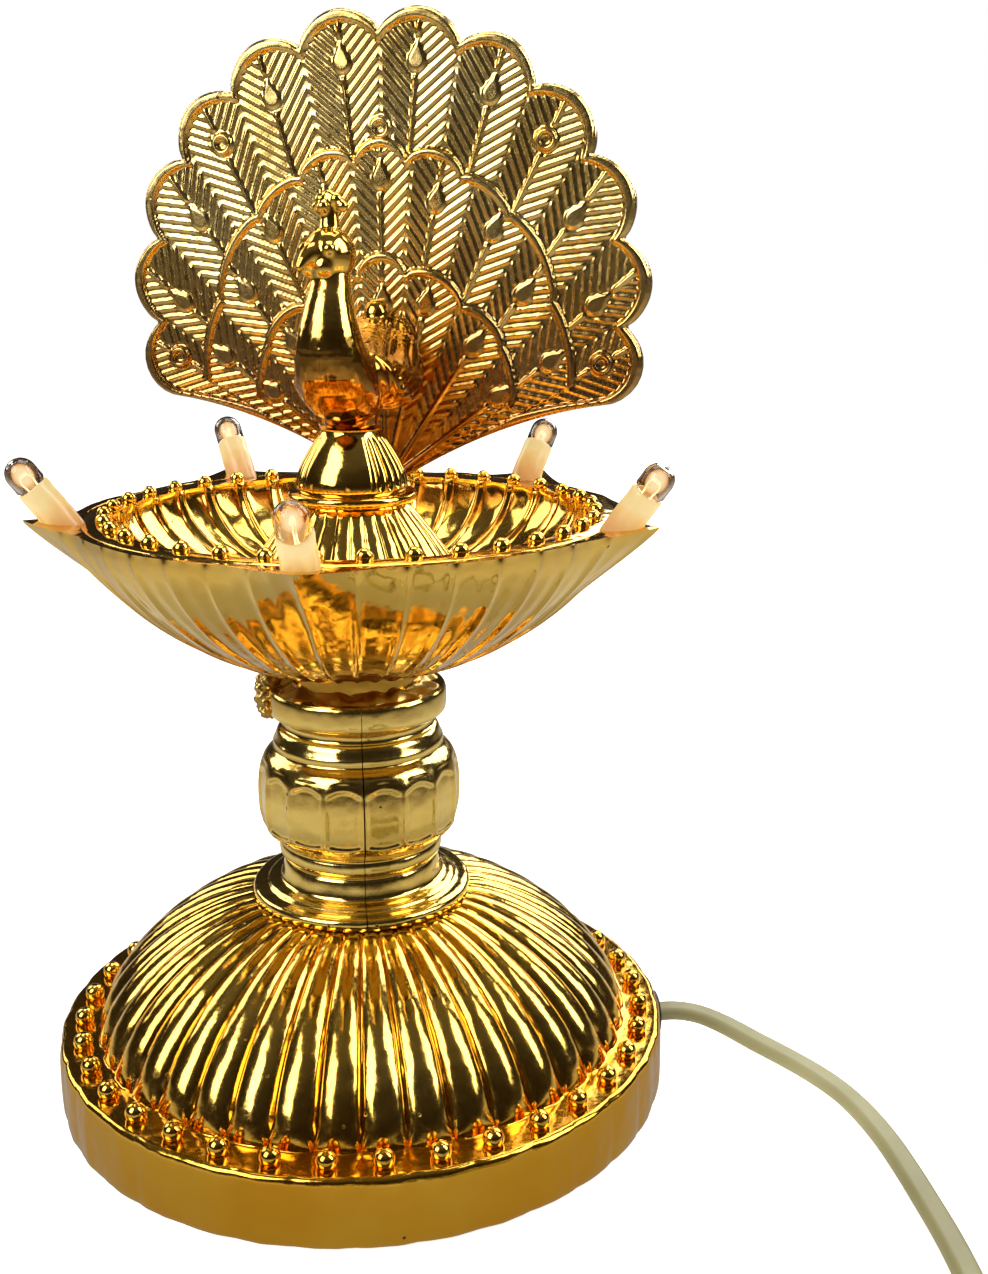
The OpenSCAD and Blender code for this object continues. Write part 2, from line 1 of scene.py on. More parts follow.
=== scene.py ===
# %% [markdown]
# # An electric peacock lamp in gilded plastic
# The lamp copies a brass oil lamp in moulded plastic with a metallised coat. A fluted base
# carries a turned stem, a bowl with five spouts and a peacock with its tail open. Small bulbs
# stand where the wicks would be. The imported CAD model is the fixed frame, and each cell adds
# one piece or one finish round it. The helpers work in millimetres, in the CAD model's frame.

# %% Load the frame
import math
import bmesh
import bpy
from mathutils import Matrix, Vector, noise


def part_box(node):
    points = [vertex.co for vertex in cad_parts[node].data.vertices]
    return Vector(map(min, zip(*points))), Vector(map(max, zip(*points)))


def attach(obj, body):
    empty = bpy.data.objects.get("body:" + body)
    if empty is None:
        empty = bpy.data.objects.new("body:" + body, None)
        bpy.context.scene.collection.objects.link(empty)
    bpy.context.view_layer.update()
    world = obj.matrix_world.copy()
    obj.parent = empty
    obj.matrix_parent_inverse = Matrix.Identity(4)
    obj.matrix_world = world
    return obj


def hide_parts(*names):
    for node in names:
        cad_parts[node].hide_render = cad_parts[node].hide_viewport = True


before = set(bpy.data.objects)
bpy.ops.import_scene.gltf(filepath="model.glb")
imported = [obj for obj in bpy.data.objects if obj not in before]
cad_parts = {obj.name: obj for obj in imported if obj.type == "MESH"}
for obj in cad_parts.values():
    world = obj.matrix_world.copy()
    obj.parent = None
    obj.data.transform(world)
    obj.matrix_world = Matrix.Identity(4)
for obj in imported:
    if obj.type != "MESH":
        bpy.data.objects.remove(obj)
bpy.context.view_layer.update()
MM = 0.001


def node_box(node):
    """Lowest and highest corner of a CAD node, in millimetres."""
    return [corner_point / MM for corner_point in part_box(node)]


base_high = node_box("base_shell")[1]
base_r = base_high.x
dome_top = base_high.z
seat_z = node_box("stem_right")[1].z
rim_z = 118.0
tail_y = 23.3
tail_root_z = 120.0
print(f"base radius {base_r:.1f}, dome {dome_top:.1f}, stem top {seat_z:.1f}")

# %% [markdown]
# ## Camera, backdrop and light
# The camera stands a little to the right of the peacock's face and looks down on the lamp.
# The backdrop is a pale floor. A gilded surface shows only what it mirrors, so the light is
# made of a few bright panels with dark gaps between them.

# %% Camera
def new_object(name, data):
    """An object for a camera, a light or a mesh, linked into the scene."""
    made = bpy.data.objects.new(name, data)
    bpy.context.collection.objects.link(made)
    return made


camera_data = bpy.data.cameras.new("camera")
camera_data.sensor_fit = "VERTICAL"
camera_data.sensor_height = 36
camera_data.lens = 41.52
camera_data.clip_start = 0.01
camera = new_object("camera", camera_data)
camera.location = Vector((86.11, -266.61, 167.18)) * MM
camera.rotation_euler = (math.radians(75.09), 0, math.radians(12.35))
bpy.context.scene.camera = camera
CAMERA_SIDE = math.degrees(math.atan2(camera.location.y, camera.location.x))
print(f"the camera is at {CAMERA_SIDE:.0f} degrees round the lamp")


# %% Shader helpers
def new_material(name):
    """An empty material, its node tree and its Principled BSDF."""
    material = bpy.data.materials.new(name)
    material.use_nodes = True
    tree = material.node_tree
    return material, tree, tree.nodes["Principled BSDF"]


def add_node(tree, kind, **values):
    """A node with its settings and its unlinked inputs set by name."""
    node = tree.nodes.new(kind)
    for key, value in values.items():
        if hasattr(node, key):
            setattr(node, key, value)
        else:
            node.inputs[key.replace("_", " ")].default_value = value
    return node


def ramp_between(tree, source, stops):
    """A color ramp fed by a value, from (position, colour) stops."""
    ramp = add_node(tree, "ShaderNodeValToRGB")
    points = ramp.color_ramp.elements
    while len(points) < len(stops):
        points.new(0.5)
    for point, (position, colour) in zip(points, stops):
        point.position = position
        point.color = (*colour, 1)
    tree.links.new(source, ramp.inputs["Fac"])
    return ramp.outputs["Color"]


def feed(tree, socket, value):
    """Links a socket to another one, or gives it a plain value."""
    if isinstance(value, bpy.types.NodeSocket):
        tree.links.new(value, socket)
    else:
        socket.default_value = value


def compute(tree, operation, *values):
    """The result of a Math node, fed by sockets or numbers."""
    node = add_node(tree, "ShaderNodeMath", operation=operation)
    for socket, value in zip(node.inputs, values):
        feed(tree, socket, value)
    return node.outputs["Value"]


def remap(tree, source, given, wanted=(0.0, 1.0)):
    """Maps a given range of a value onto a wanted one, and stops at its ends."""
    node = add_node(tree, "ShaderNodeMapRange", From_Min=given[0], From_Max=given[1],
                    To_Min=wanted[0], To_Max=wanted[1])
    tree.links.new(source, node.inputs["Value"])
    return node.outputs["Result"]


def mix_colours(tree, factor, first, second, blend="MIX"):
    """A mix of two colours. A Mix node keeps its colours in its inputs 6 and 7."""
    node = add_node(tree, "ShaderNodeMix", data_type="RGBA", blend_type=blend)
    for place, value in ((0, factor), (6, first), (7, second)):
        feed(tree, node.inputs[place], value)
    return node.outputs[2]


def noise_on(tree, place, scale, detail=2.0):
    """A noise texture on some coordinates."""
    texture = add_node(tree, "ShaderNodeTexNoise", Scale=scale, Detail=detail)
    tree.links.new(place, texture.inputs["Vector"])
    return texture.outputs["Fac"]


def object_place(tree):
    """The coordinates that stay fixed to a piece."""
    return add_node(tree, "ShaderNodeTexCoord").outputs["Object"]


def add_bump(tree, shader, height, strength, distance):
    """Relief on a surface, in metres, from a height."""
    bump = add_node(tree, "ShaderNodeBump", Strength=strength, Distance=distance)
    tree.links.new(height, bump.inputs["Height"])
    tree.links.new(bump.outputs["Normal"], shader.inputs["Normal"])


# %% Floor and world
bpy.context.scene.view_settings.view_transform = "Standard"


def mesh_from(bm, name):
    """Turns a bmesh into a mesh and frees it."""
    mesh = bpy.data.meshes.new(name)
    bm.to_mesh(mesh)
    bm.free()
    return mesh


def make_floor():
    """A wide pale floor: white to the eye, and painted floor light in reflections."""
    bm = bmesh.new()
    bmesh.ops.create_circle(bm, cap_ends=True, segments=96, radius=12.0)
    mesh = mesh_from(bm, "floor")
    floor = new_object("floor", mesh)
    material, tree, shader = new_material("pale_floor")
    shader.inputs["Base Color"].default_value = (0.93, 0.93, 0.93, 1)
    shader.inputs["Roughness"].default_value = 0.9
    distance = add_node(tree, "ShaderNodeVectorMath", operation="LENGTH")
    tree.links.new(object_place(tree), distance.inputs[0])
    whiter = ramp_between(tree, distance.outputs["Value"], [
        (0.05, (0.70, 0.70, 0.70)), (0.20, (0.80, 0.80, 0.80)), (0.60, (1, 1, 1))])
    tree.links.new(whiter, shader.inputs["Emission Color"])
    shader.inputs["Emission Strength"].default_value = 1.0
    # In reflections the floor is painted light: a painted shadow under the lamp, a bright ring
    # round it, and a dim far edge
    painted_floor_glow = ramp_between(tree, distance.outputs["Value"], [
        (0.0, (0.08, 0.075, 0.07)), (0.066, (0.40, 0.39, 0.36)), (0.10, (0.46, 0.45, 0.42)),
        (0.16, (0.68, 0.67, 0.64)), (0.30, (0.44, 0.41, 0.36)), (0.75, (0.13, 0.11, 0.09))])
    seen = add_node(tree, "ShaderNodeEmission")
    tree.links.new(painted_floor_glow, seen.inputs["Color"])
    path = add_node(tree, "ShaderNodeLightPath")
    pick = add_node(tree, "ShaderNodeMixShader")
    tree.links.new(path.outputs["Is Glossy Ray"], pick.inputs["Fac"])
    tree.links.new(shader.outputs["BSDF"], pick.inputs[1])
    tree.links.new(seen.outputs["Emission"], pick.inputs[2])
    tree.links.new(pick.outputs["Shader"], tree.nodes["Material Output"].inputs["Surface"])
    mesh.materials.append(material)


def make_world():
    """White behind the lamp, and a dim warm room in its reflections."""
    world = bpy.data.worlds.new("studio")
    bpy.context.scene.world = world
    world.use_nodes = True
    tree = world.node_tree
    shader = tree.nodes["Background"]
    place = add_node(tree, "ShaderNodeTexCoord")
    parts = add_node(tree, "ShaderNodeSeparateXYZ")
    tree.links.new(place.outputs["Generated"], parts.inputs["Vector"])
    room = ramp_between(tree, remap(tree, parts.outputs["Z"], (-1.0, 1.0)), [
        (0.0, (0.25, 0.22, 0.18)), (0.49, (0.040, 0.033, 0.027)), (0.60, (0.020, 0.015, 0.011)),
        (0.80, (0.040, 0.034, 0.028)), (1.0, (0.12, 0.11, 0.10))])
    path = add_node(tree, "ShaderNodeLightPath")
    seen = mix_colours(tree, path.outputs["Is Camera Ray"], room, (1, 1, 1, 1))
    tree.links.new(seen, shader.inputs["Color"])


make_floor()
make_world()


# %% Light panels
LIT_HEIGHT = 110


def light_panel(name, turn, rise, distance, width, height, power):
    """A soft panel, placed by its turn from the camera's side and its rise above the floor."""
    data = bpy.data.lights.new(name, "AREA")
    data.shape = "RECTANGLE"
    data.size = width
    data.size_y = height
    data.energy = power
    around = math.radians(CAMERA_SIDE + turn)
    up = math.radians(rise)
    target = Vector((0, 0, LIT_HEIGHT * MM))
    away = Vector((math.cos(around) * math.cos(up), math.sin(around) * math.cos(up),
                   math.sin(up)))
    panel = new_object(name, data)
    panel.location = target + away * distance
    panel.rotation_euler = (-away).to_track_quat("-Z", "Y").to_euler()


light_panel("left_panel", -52, 34, 0.85, 0.50, 0.62, 5.2)
light_panel("right_panel", 76, 36, 0.85, 0.34, 0.66, 4.2)
light_panel("top_panel", 170, 72, 0.80, 0.60, 0.42, 2.6)
light_panel("back_left_panel", -128, 26, 0.90, 0.42, 0.50, 2.0)
light_panel("back_right_panel", 142, 29, 0.90, 0.68, 0.60, 5.5)

# %% [markdown]
# ## Meshes by turning
# Most of the lamp is turned or moulded in the round. A line of (radius, height) points is
# spun with `bmesh.ops.spin`, and then a rule moves the vertices to cut flutes, raise ribs or
# draw out spouts. A closed line gives a closed shell with a wall. Cutting the corners of the
# line first rounds every edge a little, as a mould does.

# %% Turning helpers
def polar(point):
    """Radius and angle in degrees of a point round the lamp's axis."""
    return math.hypot(point.x, point.y), math.degrees(math.atan2(point.y, point.x))


def at_polar(radius, angle, z):
    """The point at a radius and an angle in degrees."""
    return Vector((radius * math.cos(math.radians(angle)),
                   radius * math.sin(math.radians(angle)), z))


def smooth_step(value):
    """0 below 0, 1 above 1, and an S between."""
    value = min(max(value, 0.0), 1.0)
    return value * value * (3 - 2 * value)


def from_nearest(angle, step, first=0.0):
    """Signed distance in degrees from the nearest of evenly spaced directions."""
    return (angle - first + step / 2) % step - step / 2


def quarter(r_in, r_out, z_flat, z_tip, power, step):
    """A quarter of a superellipse from (r_out, z_flat) to (r_in, z_tip)."""
    line = []
    for i in range(round(90 / step) + 1):
        t = math.radians(i * step)
        across = max(math.cos(t), 0.0) ** (2 / power)
        up = math.sin(t) ** (2 / power)
        line.append((r_in + (r_out - r_in) * across, z_flat + (z_tip - z_flat) * up))
    return line


def beside(line, gap):
    """A line moved sideways by a gap, towards its left."""
    moved = []
    for i, (r, z) in enumerate(line):
        r0, z0 = line[max(i - 1, 0)]
        r1, z1 = line[min(i + 1, len(line) - 1)]
        size = math.hypot(r1 - r0, z1 - z0)
        moved.append((r - gap * (z1 - z0) / size, z + gap * (r1 - r0) / size))
    return moved


def rounded(line, passes=2):
    """Cuts the corners of a line again and again."""
    for _ in range(passes):
        cut = [line[0]]
        for (r0, z0), (r1, z1) in zip(line, line[1:]):
            cut.append((0.75 * r0 + 0.25 * r1, 0.75 * z0 + 0.25 * z1))
            cut.append((0.25 * r0 + 0.75 * r1, 0.25 * z0 + 0.75 * z1))
        line = cut + [line[-1]]
    return line


def split_long(line, longest):
    """Adds points so that no stretch of a line is longer than a limit."""
    fine = [line[0]]
    for (r0, z0), (r1, z1) in zip(line, line[1:]):
        parts = max(1, math.ceil(math.hypot(r1 - r0, z1 - z0) / longest))
        fine += [(r0 + (r1 - r0) * i / parts, z0 + (z1 - z0) * i / parts)
                 for i in range(1, parts + 1)]
    return fine


MOST_SLICES = 24


def turned(line, steps, start=0.0, turn=360.0, closed=True):
    """Spins a line of (radius, height) points. A closed line makes a shell with a wall."""
    bm = bmesh.new()
    first = [bm.verts.new(at_polar(r, start, z)) for r, z in line]
    pairs = list(zip(first, first[1:]))
    if closed:
        pairs.append((first[-1], first[0]))
    edges = [bm.edges.new(pair) for pair in pairs]
    # One slice is spun and then copied round, which is far quicker than one long spin
    slices = next(n for n in range(MOST_SLICES, 0, -1) if steps % n == 0)
    centred = dict(cent=(0, 0, 0), axis=(0, 0, 1), dvec=(0, 0, 0))
    bmesh.ops.spin(bm, geom=first + edges, angle=math.radians(turn / slices),
                   steps=steps // slices, **centred)
    if slices > 1:
        whole_slice = bm.verts[:] + bm.edges[:] + bm.faces[:]
        bmesh.ops.spin(bm, geom=whole_slice, steps=slices - 1, use_duplicate=True,
                       angle=math.radians(turn * (slices - 1) / slices), **centred)
        bmesh.ops.remove_doubles(bm, verts=bm.verts, dist=0.0005)
    if closed and turn < 360:
        ends = [edge for edge in bm.edges if edge.is_boundary]
        bmesh.ops.holes_fill(bm, edges=ends, sides=0)
    return bm


def reshape(bm, rule):
    """Moves each vertex to where a rule puts it, given its radius, angle and height."""
    for vertex in bm.verts:
        radius, angle = polar(vertex.co)
        moved = rule(radius, angle, vertex.co.z)
        if moved is not None:
            vertex.co = at_polar(*moved)


def add_ball(bm, centre, radius, segments=18, scale=(1, 1, 1)):
    """Adds a ball, stretched by a scale, to a mesh."""
    place = Matrix.Translation(centre) @ Matrix.Diagonal((*scale, 1))
    bmesh.ops.create_uvsphere(bm, u_segments=segments, v_segments=segments * 2 // 3,
                              radius=radius, matrix=place)


def join_into(bm, part):
    """Adds another mesh to this one and frees it."""
    holder = mesh_from(part, "holder")
    bm.from_mesh(holder)
    bpy.data.meshes.remove(holder)


def add_beads(bm, count, first, ring_r, z, radius, segments):
    """Adds a ring of beads: one ball, copied round the axis."""
    part = bmesh.new()
    add_ball(part, at_polar(ring_r, first, z), radius, segments)
    everything = part.verts[:] + part.edges[:] + part.faces[:]
    bmesh.ops.spin(part, geom=everything, cent=(0, 0, 0), axis=(0, 0, 1), dvec=(0, 0, 0),
                   angle=math.tau * (count - 1) / count, steps=count - 1, use_duplicate=True)
    join_into(bm, part)


def roughen(bm, amount, size, chosen=lambda point: True):
    """Moves vertices along their normals by a smooth noise of a given size."""
    bm.normal_update()
    for vertex in bm.verts:
        if chosen(vertex.co):
            vertex.co += vertex.normal * amount * noise.noise(vertex.co / size)


def to_piece(bm, name, material, replaced=(), body="root", sharp=42):
    """Turns a mesh in millimetres into a finished piece that rides on its body."""
    bmesh.ops.recalc_face_normals(bm, faces=bm.faces)
    bmesh.ops.scale(bm, vec=(MM, MM, MM), verts=bm.verts)
    mesh = mesh_from(bm, name)
    mesh.shade_smooth()
    mesh.set_sharp_from_angle(angle=math.radians(sharp))
    mesh.materials.append(material)
    piece = new_object(name, mesh)
    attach(piece, body)
    if replaced:
        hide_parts(*replaced)
    print(f"{name}: {len(mesh.polygons)} faces")
    return piece


# %% [markdown]
# ## The mains cord
# The cord is a flat twin flex, 5 mm wide and 3 mm thick. It leaves the skirt, falls to the
# table and runs forward past the lamp. Its spare length is wound into a coil of four layers
# and two columns, tied, with the plug beside it. A mesh swept along one smooth path keeps
# its flat side level all the way. The route's points are the CAD model's own.

# %% Cord route
CORD_W = 5.0
CORD_T = 3.0
CORD_GROOVE = 0.22
ROUTE = [(58.8, 23.7, 5.4), (63, 25.4, 5.2), (68, 26.3, 4.4), (74, 25.2, 3),
         (80.5, 21.8, 1.9), (87, 17.4, 1.5), (93.2, 12, 1.5), (98.6, 6, 1.5), (103, -1, 1.5),
         (106.8, -9, 1.5), (110, -17.5, 1.5), (113, -26.5, 1.5), (116, -36, 1.5),
         (118.6, -46, 1.5), (120.6, -56, 1.6), (121.8, -66, 1.8), (122.3, -76, 2),
         (122.5, -87, 2.3), (122.5, -98, 2.35)]
TO_PLUG = [(92.5, -128, 11.65), (84, -128.2, 11.4), (76, -128.5, 10.4), (68, -128.8, 8.7),
           (61, -129, 7.3), (54, -129, 7)]
COIL_CENTRE = Vector((92.5, -98, 0))
COIL_OUTER, COIL_INNER = 30.0, 25.0
COIL_LOW, LAYER_RISE = 2.35, 3.1
COIL_DEGREES = 7.25 * 360
CHANGE_DEGREES = 36
# The radius and the layer of each turn, from the first one wound
SLOTS = [(COIL_OUTER, 0), (COIL_INNER, 0), (COIL_INNER, 1), (COIL_OUTER, 1),
         (COIL_OUTER, 2), (COIL_INNER, 2), (COIL_INNER, 3), (COIL_OUTER, 3)]


def coil_point(wound):
    """The cord's centre after winding clockwise by some degrees.

    Each turn keeps its own slot in the coil. A later turn changes slot earlier in its round,
    so no turn ever moves into a slot that is still taken.
    """
    done, part = int(wound // 360), wound % 360
    middle = 345 - CHANGE_DEGREES * done
    change = smooth_step((part - middle) / CHANGE_DEGREES + 0.5)
    here = SLOTS[min(done, len(SLOTS) - 1)]
    after = SLOTS[min(done + 1, len(SLOTS) - 1)]
    radius = here[0] + (after[0] - here[0]) * change
    layer = here[1] + (after[1] - here[1]) * change
    return COIL_CENTRE + at_polar(radius, -wound, COIL_LOW + LAYER_RISE * layer)


def through(points, parts):
    """A smooth line through points, with each stretch cut into parts (Catmull-Rom)."""
    points = [Vector(point) for point in points]
    ends = [2 * points[0] - points[1]] + points + [2 * points[-1] - points[-2]]
    line = []
    for a, b, c, d in zip(ends, ends[1:], ends[2:], ends[3:]):
        for i in range(parts):
            t = i / parts
            line.append(0.5 * (2 * b + (c - a) * t + (2 * a - 5 * b + 4 * c - d) * t * t
                               + (3 * b - a - 3 * c + d) * t ** 3))
    return line + [points[-1]]


COIL_STEP = 4.5
cord_path = through(ROUTE, 3)[:-1]
cord_path += [coil_point(i * COIL_STEP) for i in range(round(COIL_DEGREES / COIL_STEP))]
cord_path += through(TO_PLUG, 3)


# %% Cord materials
def cord_material():
    """Satin cream PVC, a little yellowed along its length, with scuffs and dust."""
    material, tree, shader = new_material("cream_flex")
    place = object_place(tree)
    colour = ramp_between(tree, noise_on(tree, place, 18.0, 3.0), [
        (0.35, (0.20, 0.18, 0.075)), (0.55, (0.29, 0.27, 0.12)), (0.75, (0.40, 0.38, 0.21))])
    tree.links.new(colour, shader.inputs["Base Color"])
    scuff = noise_on(tree, place, 420.0, 4.0)
    tree.links.new(remap(tree, scuff, (0.0, 1.0), (0.38, 0.62)), shader.inputs["Roughness"])
    add_bump(tree, shader, scuff, 0.12, 0.0003)
    shader.inputs["Subsurface Weight"].default_value = 0.15
    shader.inputs["Subsurface Scale"].default_value = 0.003
    return material


cream_flex = cord_material()


# %% Cord mesh
def flat_section():
    """The cord's outline: two round edges and a faint groove between the two cores."""
    points = []
    for side in (1, -1):
        for i in range(7):
            a = math.radians(30 * i - 90 * side)
            points.append(((CORD_W - CORD_T) / 2 * side + CORD_T / 2 * math.cos(a),
                           CORD_T / 2 * math.sin(a)))
        points.append((0.0, side * (CORD_T / 2 - CORD_GROOVE)))
    return points


def sweep(bm, path, section):
    """Extrudes a section along a path, its width kept level, and closes both ends."""
    ring_before = None
    for i, point in enumerate(path):
        ahead = (path[min(i + 1, len(path) - 1)] - path[max(i - 1, 0)]).normalized()
        across = Vector((ahead.y, -ahead.x, 0)).normalized()
        above = across.cross(ahead)
        ring = [bm.verts.new(point + across * u + above * v) for u, v in section]
        edges = [bm.edges.new(pair) for pair in zip(ring, ring[1:] + ring[:1])]
        if ring_before is None:
            bm.faces.new(ring)
        else:
            bmesh.ops.bridge_loops(bm, edges=ring_before + edges)
        ring_before = edges
    bm.faces.new(list(reversed(ring)))


def make_cord():
    bm = bmesh.new()
    sweep(bm, cord_path, flat_section())
    return to_piece(bm, "flex", cream_flex, ("power_cord", "cord_coil"), sharp=60)


cord = make_cord()

# %% [markdown]
# ## The plug and the tie
# The plug is a moulded two-pin one: a rounded body that narrows towards the cord, grip ribs
# on its sides, and a ribbed sleeve that stops the cord from bending sharply. The tie is a
# plastic-covered wire, bent round the coil and twisted.

# %% Plain materials
def plain_material(name, dark, light, rough, scale, metal=0.0):
    """A finish whose colour wanders between two tones, with fine texture in its gloss."""
    material, tree, shader = new_material(name)
    grain = noise_on(tree, object_place(tree), scale, 5.0)
    colour = ramp_between(tree, grain, [(0.3, dark), (0.7, light)])
    tree.links.new(colour, shader.inputs["Base Color"])
    gloss = remap(tree, grain, (0.25, 0.75), (rough * 0.8, rough * 1.25))
    tree.links.new(gloss, shader.inputs["Roughness"])
    add_bump(tree, shader, grain, 0.1, 0.0002)
    shader.inputs["Metallic"].default_value = metal
    return material


plug_plastic = plain_material("cream_plug", (0.34, 0.32, 0.19), (0.46, 0.44, 0.29), 0.4, 300)
black_plastic = plain_material("black_plastic", (0.012, 0.012, 0.013), (0.03, 0.03, 0.03),
                               0.45, 500)
tie_plastic = plain_material("tie_plastic", (0.010, 0.010, 0.010), (0.025, 0.025, 0.025),
                             0.35, 300)
nickel = plain_material("nickel", (0.60, 0.58, 0.55), (0.74, 0.72, 0.68), 0.22, 900, 1.0)
zinc_steel = plain_material("zinc_steel", (0.42, 0.42, 0.42), (0.60, 0.60, 0.58), 0.35, 700, 1.0)
bare_brass = plain_material("bare_brass", (0.60, 0.40, 0.14), (0.80, 0.58, 0.24), 0.3, 700, 1.0)
copper = plain_material("copper", (0.55, 0.22, 0.10), (0.78, 0.36, 0.18), 0.3, 900, 1.0)
red_pvc = plain_material("red_pvc", (0.30, 0.012, 0.008), (0.42, 0.02, 0.012), 0.35, 500)


# %% Plug
PLUG_Z = 7.0
GRIPS, GRIP_PITCH, GRIP_TAPER = 5, 2.6, 0.198


def box_between(bm, low, high):
    """Adds a box between two corners and returns its vertices."""
    made = bmesh.ops.create_cube(bm, size=1.0)
    centre = (Vector(low) + Vector(high)) / 2
    bmesh.ops.scale(bm, vec=Vector(high) - Vector(low), verts=made["verts"])
    bmesh.ops.translate(bm, vec=centre, verts=made["verts"])
    return made["verts"]


def bevel_all(bm, verts, width, segments):
    """Rounds every edge between some vertices."""
    chosen = set(verts)
    edges = [e for e in bm.edges if e.verts[0] in chosen and e.verts[1] in chosen]
    bmesh.ops.bevel(bm, geom=edges, offset=width, affect="EDGES", segments=segments,
                    profile=0.5, material=-1)


def turn_to_x(bm, verts, place):
    """Lays a piece that was made along +Z down along -X, and moves it to its place."""
    bmesh.ops.rotate(bm, cent=(0, 0, 0), matrix=Matrix.Rotation(math.radians(-90), 3, "Y"),
                     verts=verts)
    bmesh.ops.translate(bm, vec=place, verts=verts)


def make_plug():
    low, high = node_box("plug_body")
    rear = Vector((high.x, (low.y + high.y) / 2, PLUG_Z))
    bm = bmesh.new()
    body = box_between(bm, (low.x, low.y, low.z), (high.x - 9.5, high.y, high.z))
    for vertex in body:
        if vertex.co.x > rear.x - 12:
            vertex.co.y = rear.y + (vertex.co.y - rear.y) * 0.66
            vertex.co.z = rear.z + (vertex.co.z - rear.z) * 0.80
    bevel_all(bm, body, 2.4, 5)
    for side in (-1, 1):
        for i in range(GRIPS):
            x = low.x + 5 + GRIP_PITCH * i
            y = rear.y + side * (12.6 - GRIP_TAPER * GRIP_PITCH * i)
            ridge = box_between(bm, (x, y - 0.9, rear.z - 4.2), (x + 1.3, y + 0.9, rear.z + 4.2))
            bevel_all(bm, ridge, 0.45, 3)
    sleeve = [(3.0, 0.0), (3.3, 0.3)]
    for i in range(4):
        z, r = 0.8 + 2.4 * i, 3.5 + 0.55 * i
        sleeve += [(r, z), (r + 0.5, z + 0.3), (r + 0.5, z + 1.3), (r + 0.1, z + 1.6)]
    sleeve += [(5.6, 11.0), (2.0, 11.0), (2.0, 0.0)]
    cuff = turned(rounded(sleeve, 1), 40)
    turn_to_x(cuff, cuff.verts, rear)
    join_into(bm, cuff)
    return to_piece(bm, "moulded_plug", plug_plastic, ("plug_body",))


def make_pins():
    low, high = node_box("plug_pins")
    bm = bmesh.new()
    pin_r = (high.z - low.z) / 2
    tip_to_body = 19.0
    for y in (low.y + pin_r, high.y - pin_r):
        line = rounded([(0.0, -7.5), (1.8, -7.5), (1.8, 0.0), (pin_r, 0.0), (pin_r, 15.5),
                        (pin_r - 0.35, 17.6), (1.3, tip_to_body), (0.0, tip_to_body)], 2)
        pin = turned(line, 32, closed=False)
        turn_to_x(pin, pin.verts, Vector((low.x + tip_to_body, y, PLUG_Z)))
        join_into(bm, pin)
    return to_piece(bm, "contact_pins", nickel, ("plug_pins",))


def oval(wide, tall, corners):
    """A round or oval section for a sweep, from its two half widths."""
    return [(wide * math.cos(math.tau * k / corners), tall * math.sin(math.tau * k / corners))
            for k in range(corners)]


TIE_WIDTH = 3.8
TIE_SQUARENESS = 0.35


def make_tie():
    low, high = node_box("coil_tie")
    middle = (low + high) / 2
    half_x, half_z = (high.x - low.x) / 2 - 0.4, (high.z - low.z) / 2 - 0.4
    bm = bmesh.new()
    loop = []
    for i in range(48):
        a = math.tau * i / 48
        x = half_x * math.copysign(abs(math.cos(a)) ** TIE_SQUARENESS, math.cos(a))
        z = half_z * math.copysign(abs(math.sin(a)) ** TIE_SQUARENESS, math.sin(a))
        loop.append(bm.verts.new((middle.x + x, middle.y - TIE_WIDTH / 2, middle.z + z)))
    edges = [bm.edges.new(pair) for pair in zip(loop, loop[1:] + loop[:1])]
    made = bmesh.ops.extrude_edge_only(bm, edges=edges)["geom"]
    moved = [item for item in made if isinstance(item, bmesh.types.BMVert)]
    bmesh.ops.translate(bm, vec=(0, TIE_WIDTH, 0), verts=moved)
    bmesh.ops.solidify(bm, geom=bm.faces[:], thickness=0.6)
    for start in (0, 180):
        twist = []
        for i in range(9):
            a = math.radians(start + 70 * i)
            twist.append(Vector((low.x + 0.3 - 0.9 * i, middle.y + 0.9 * math.cos(a),
                                 middle.z + 0.9 * math.sin(a) - 0.25 * i)))
        sweep(bm, through(twist, 4), oval(0.75, 0.55, 10))
    return to_piece(bm, "twist_tie", tie_plastic, ("coil_tie",))


plug = make_plug()
pins = make_pins()
tie = make_tie()
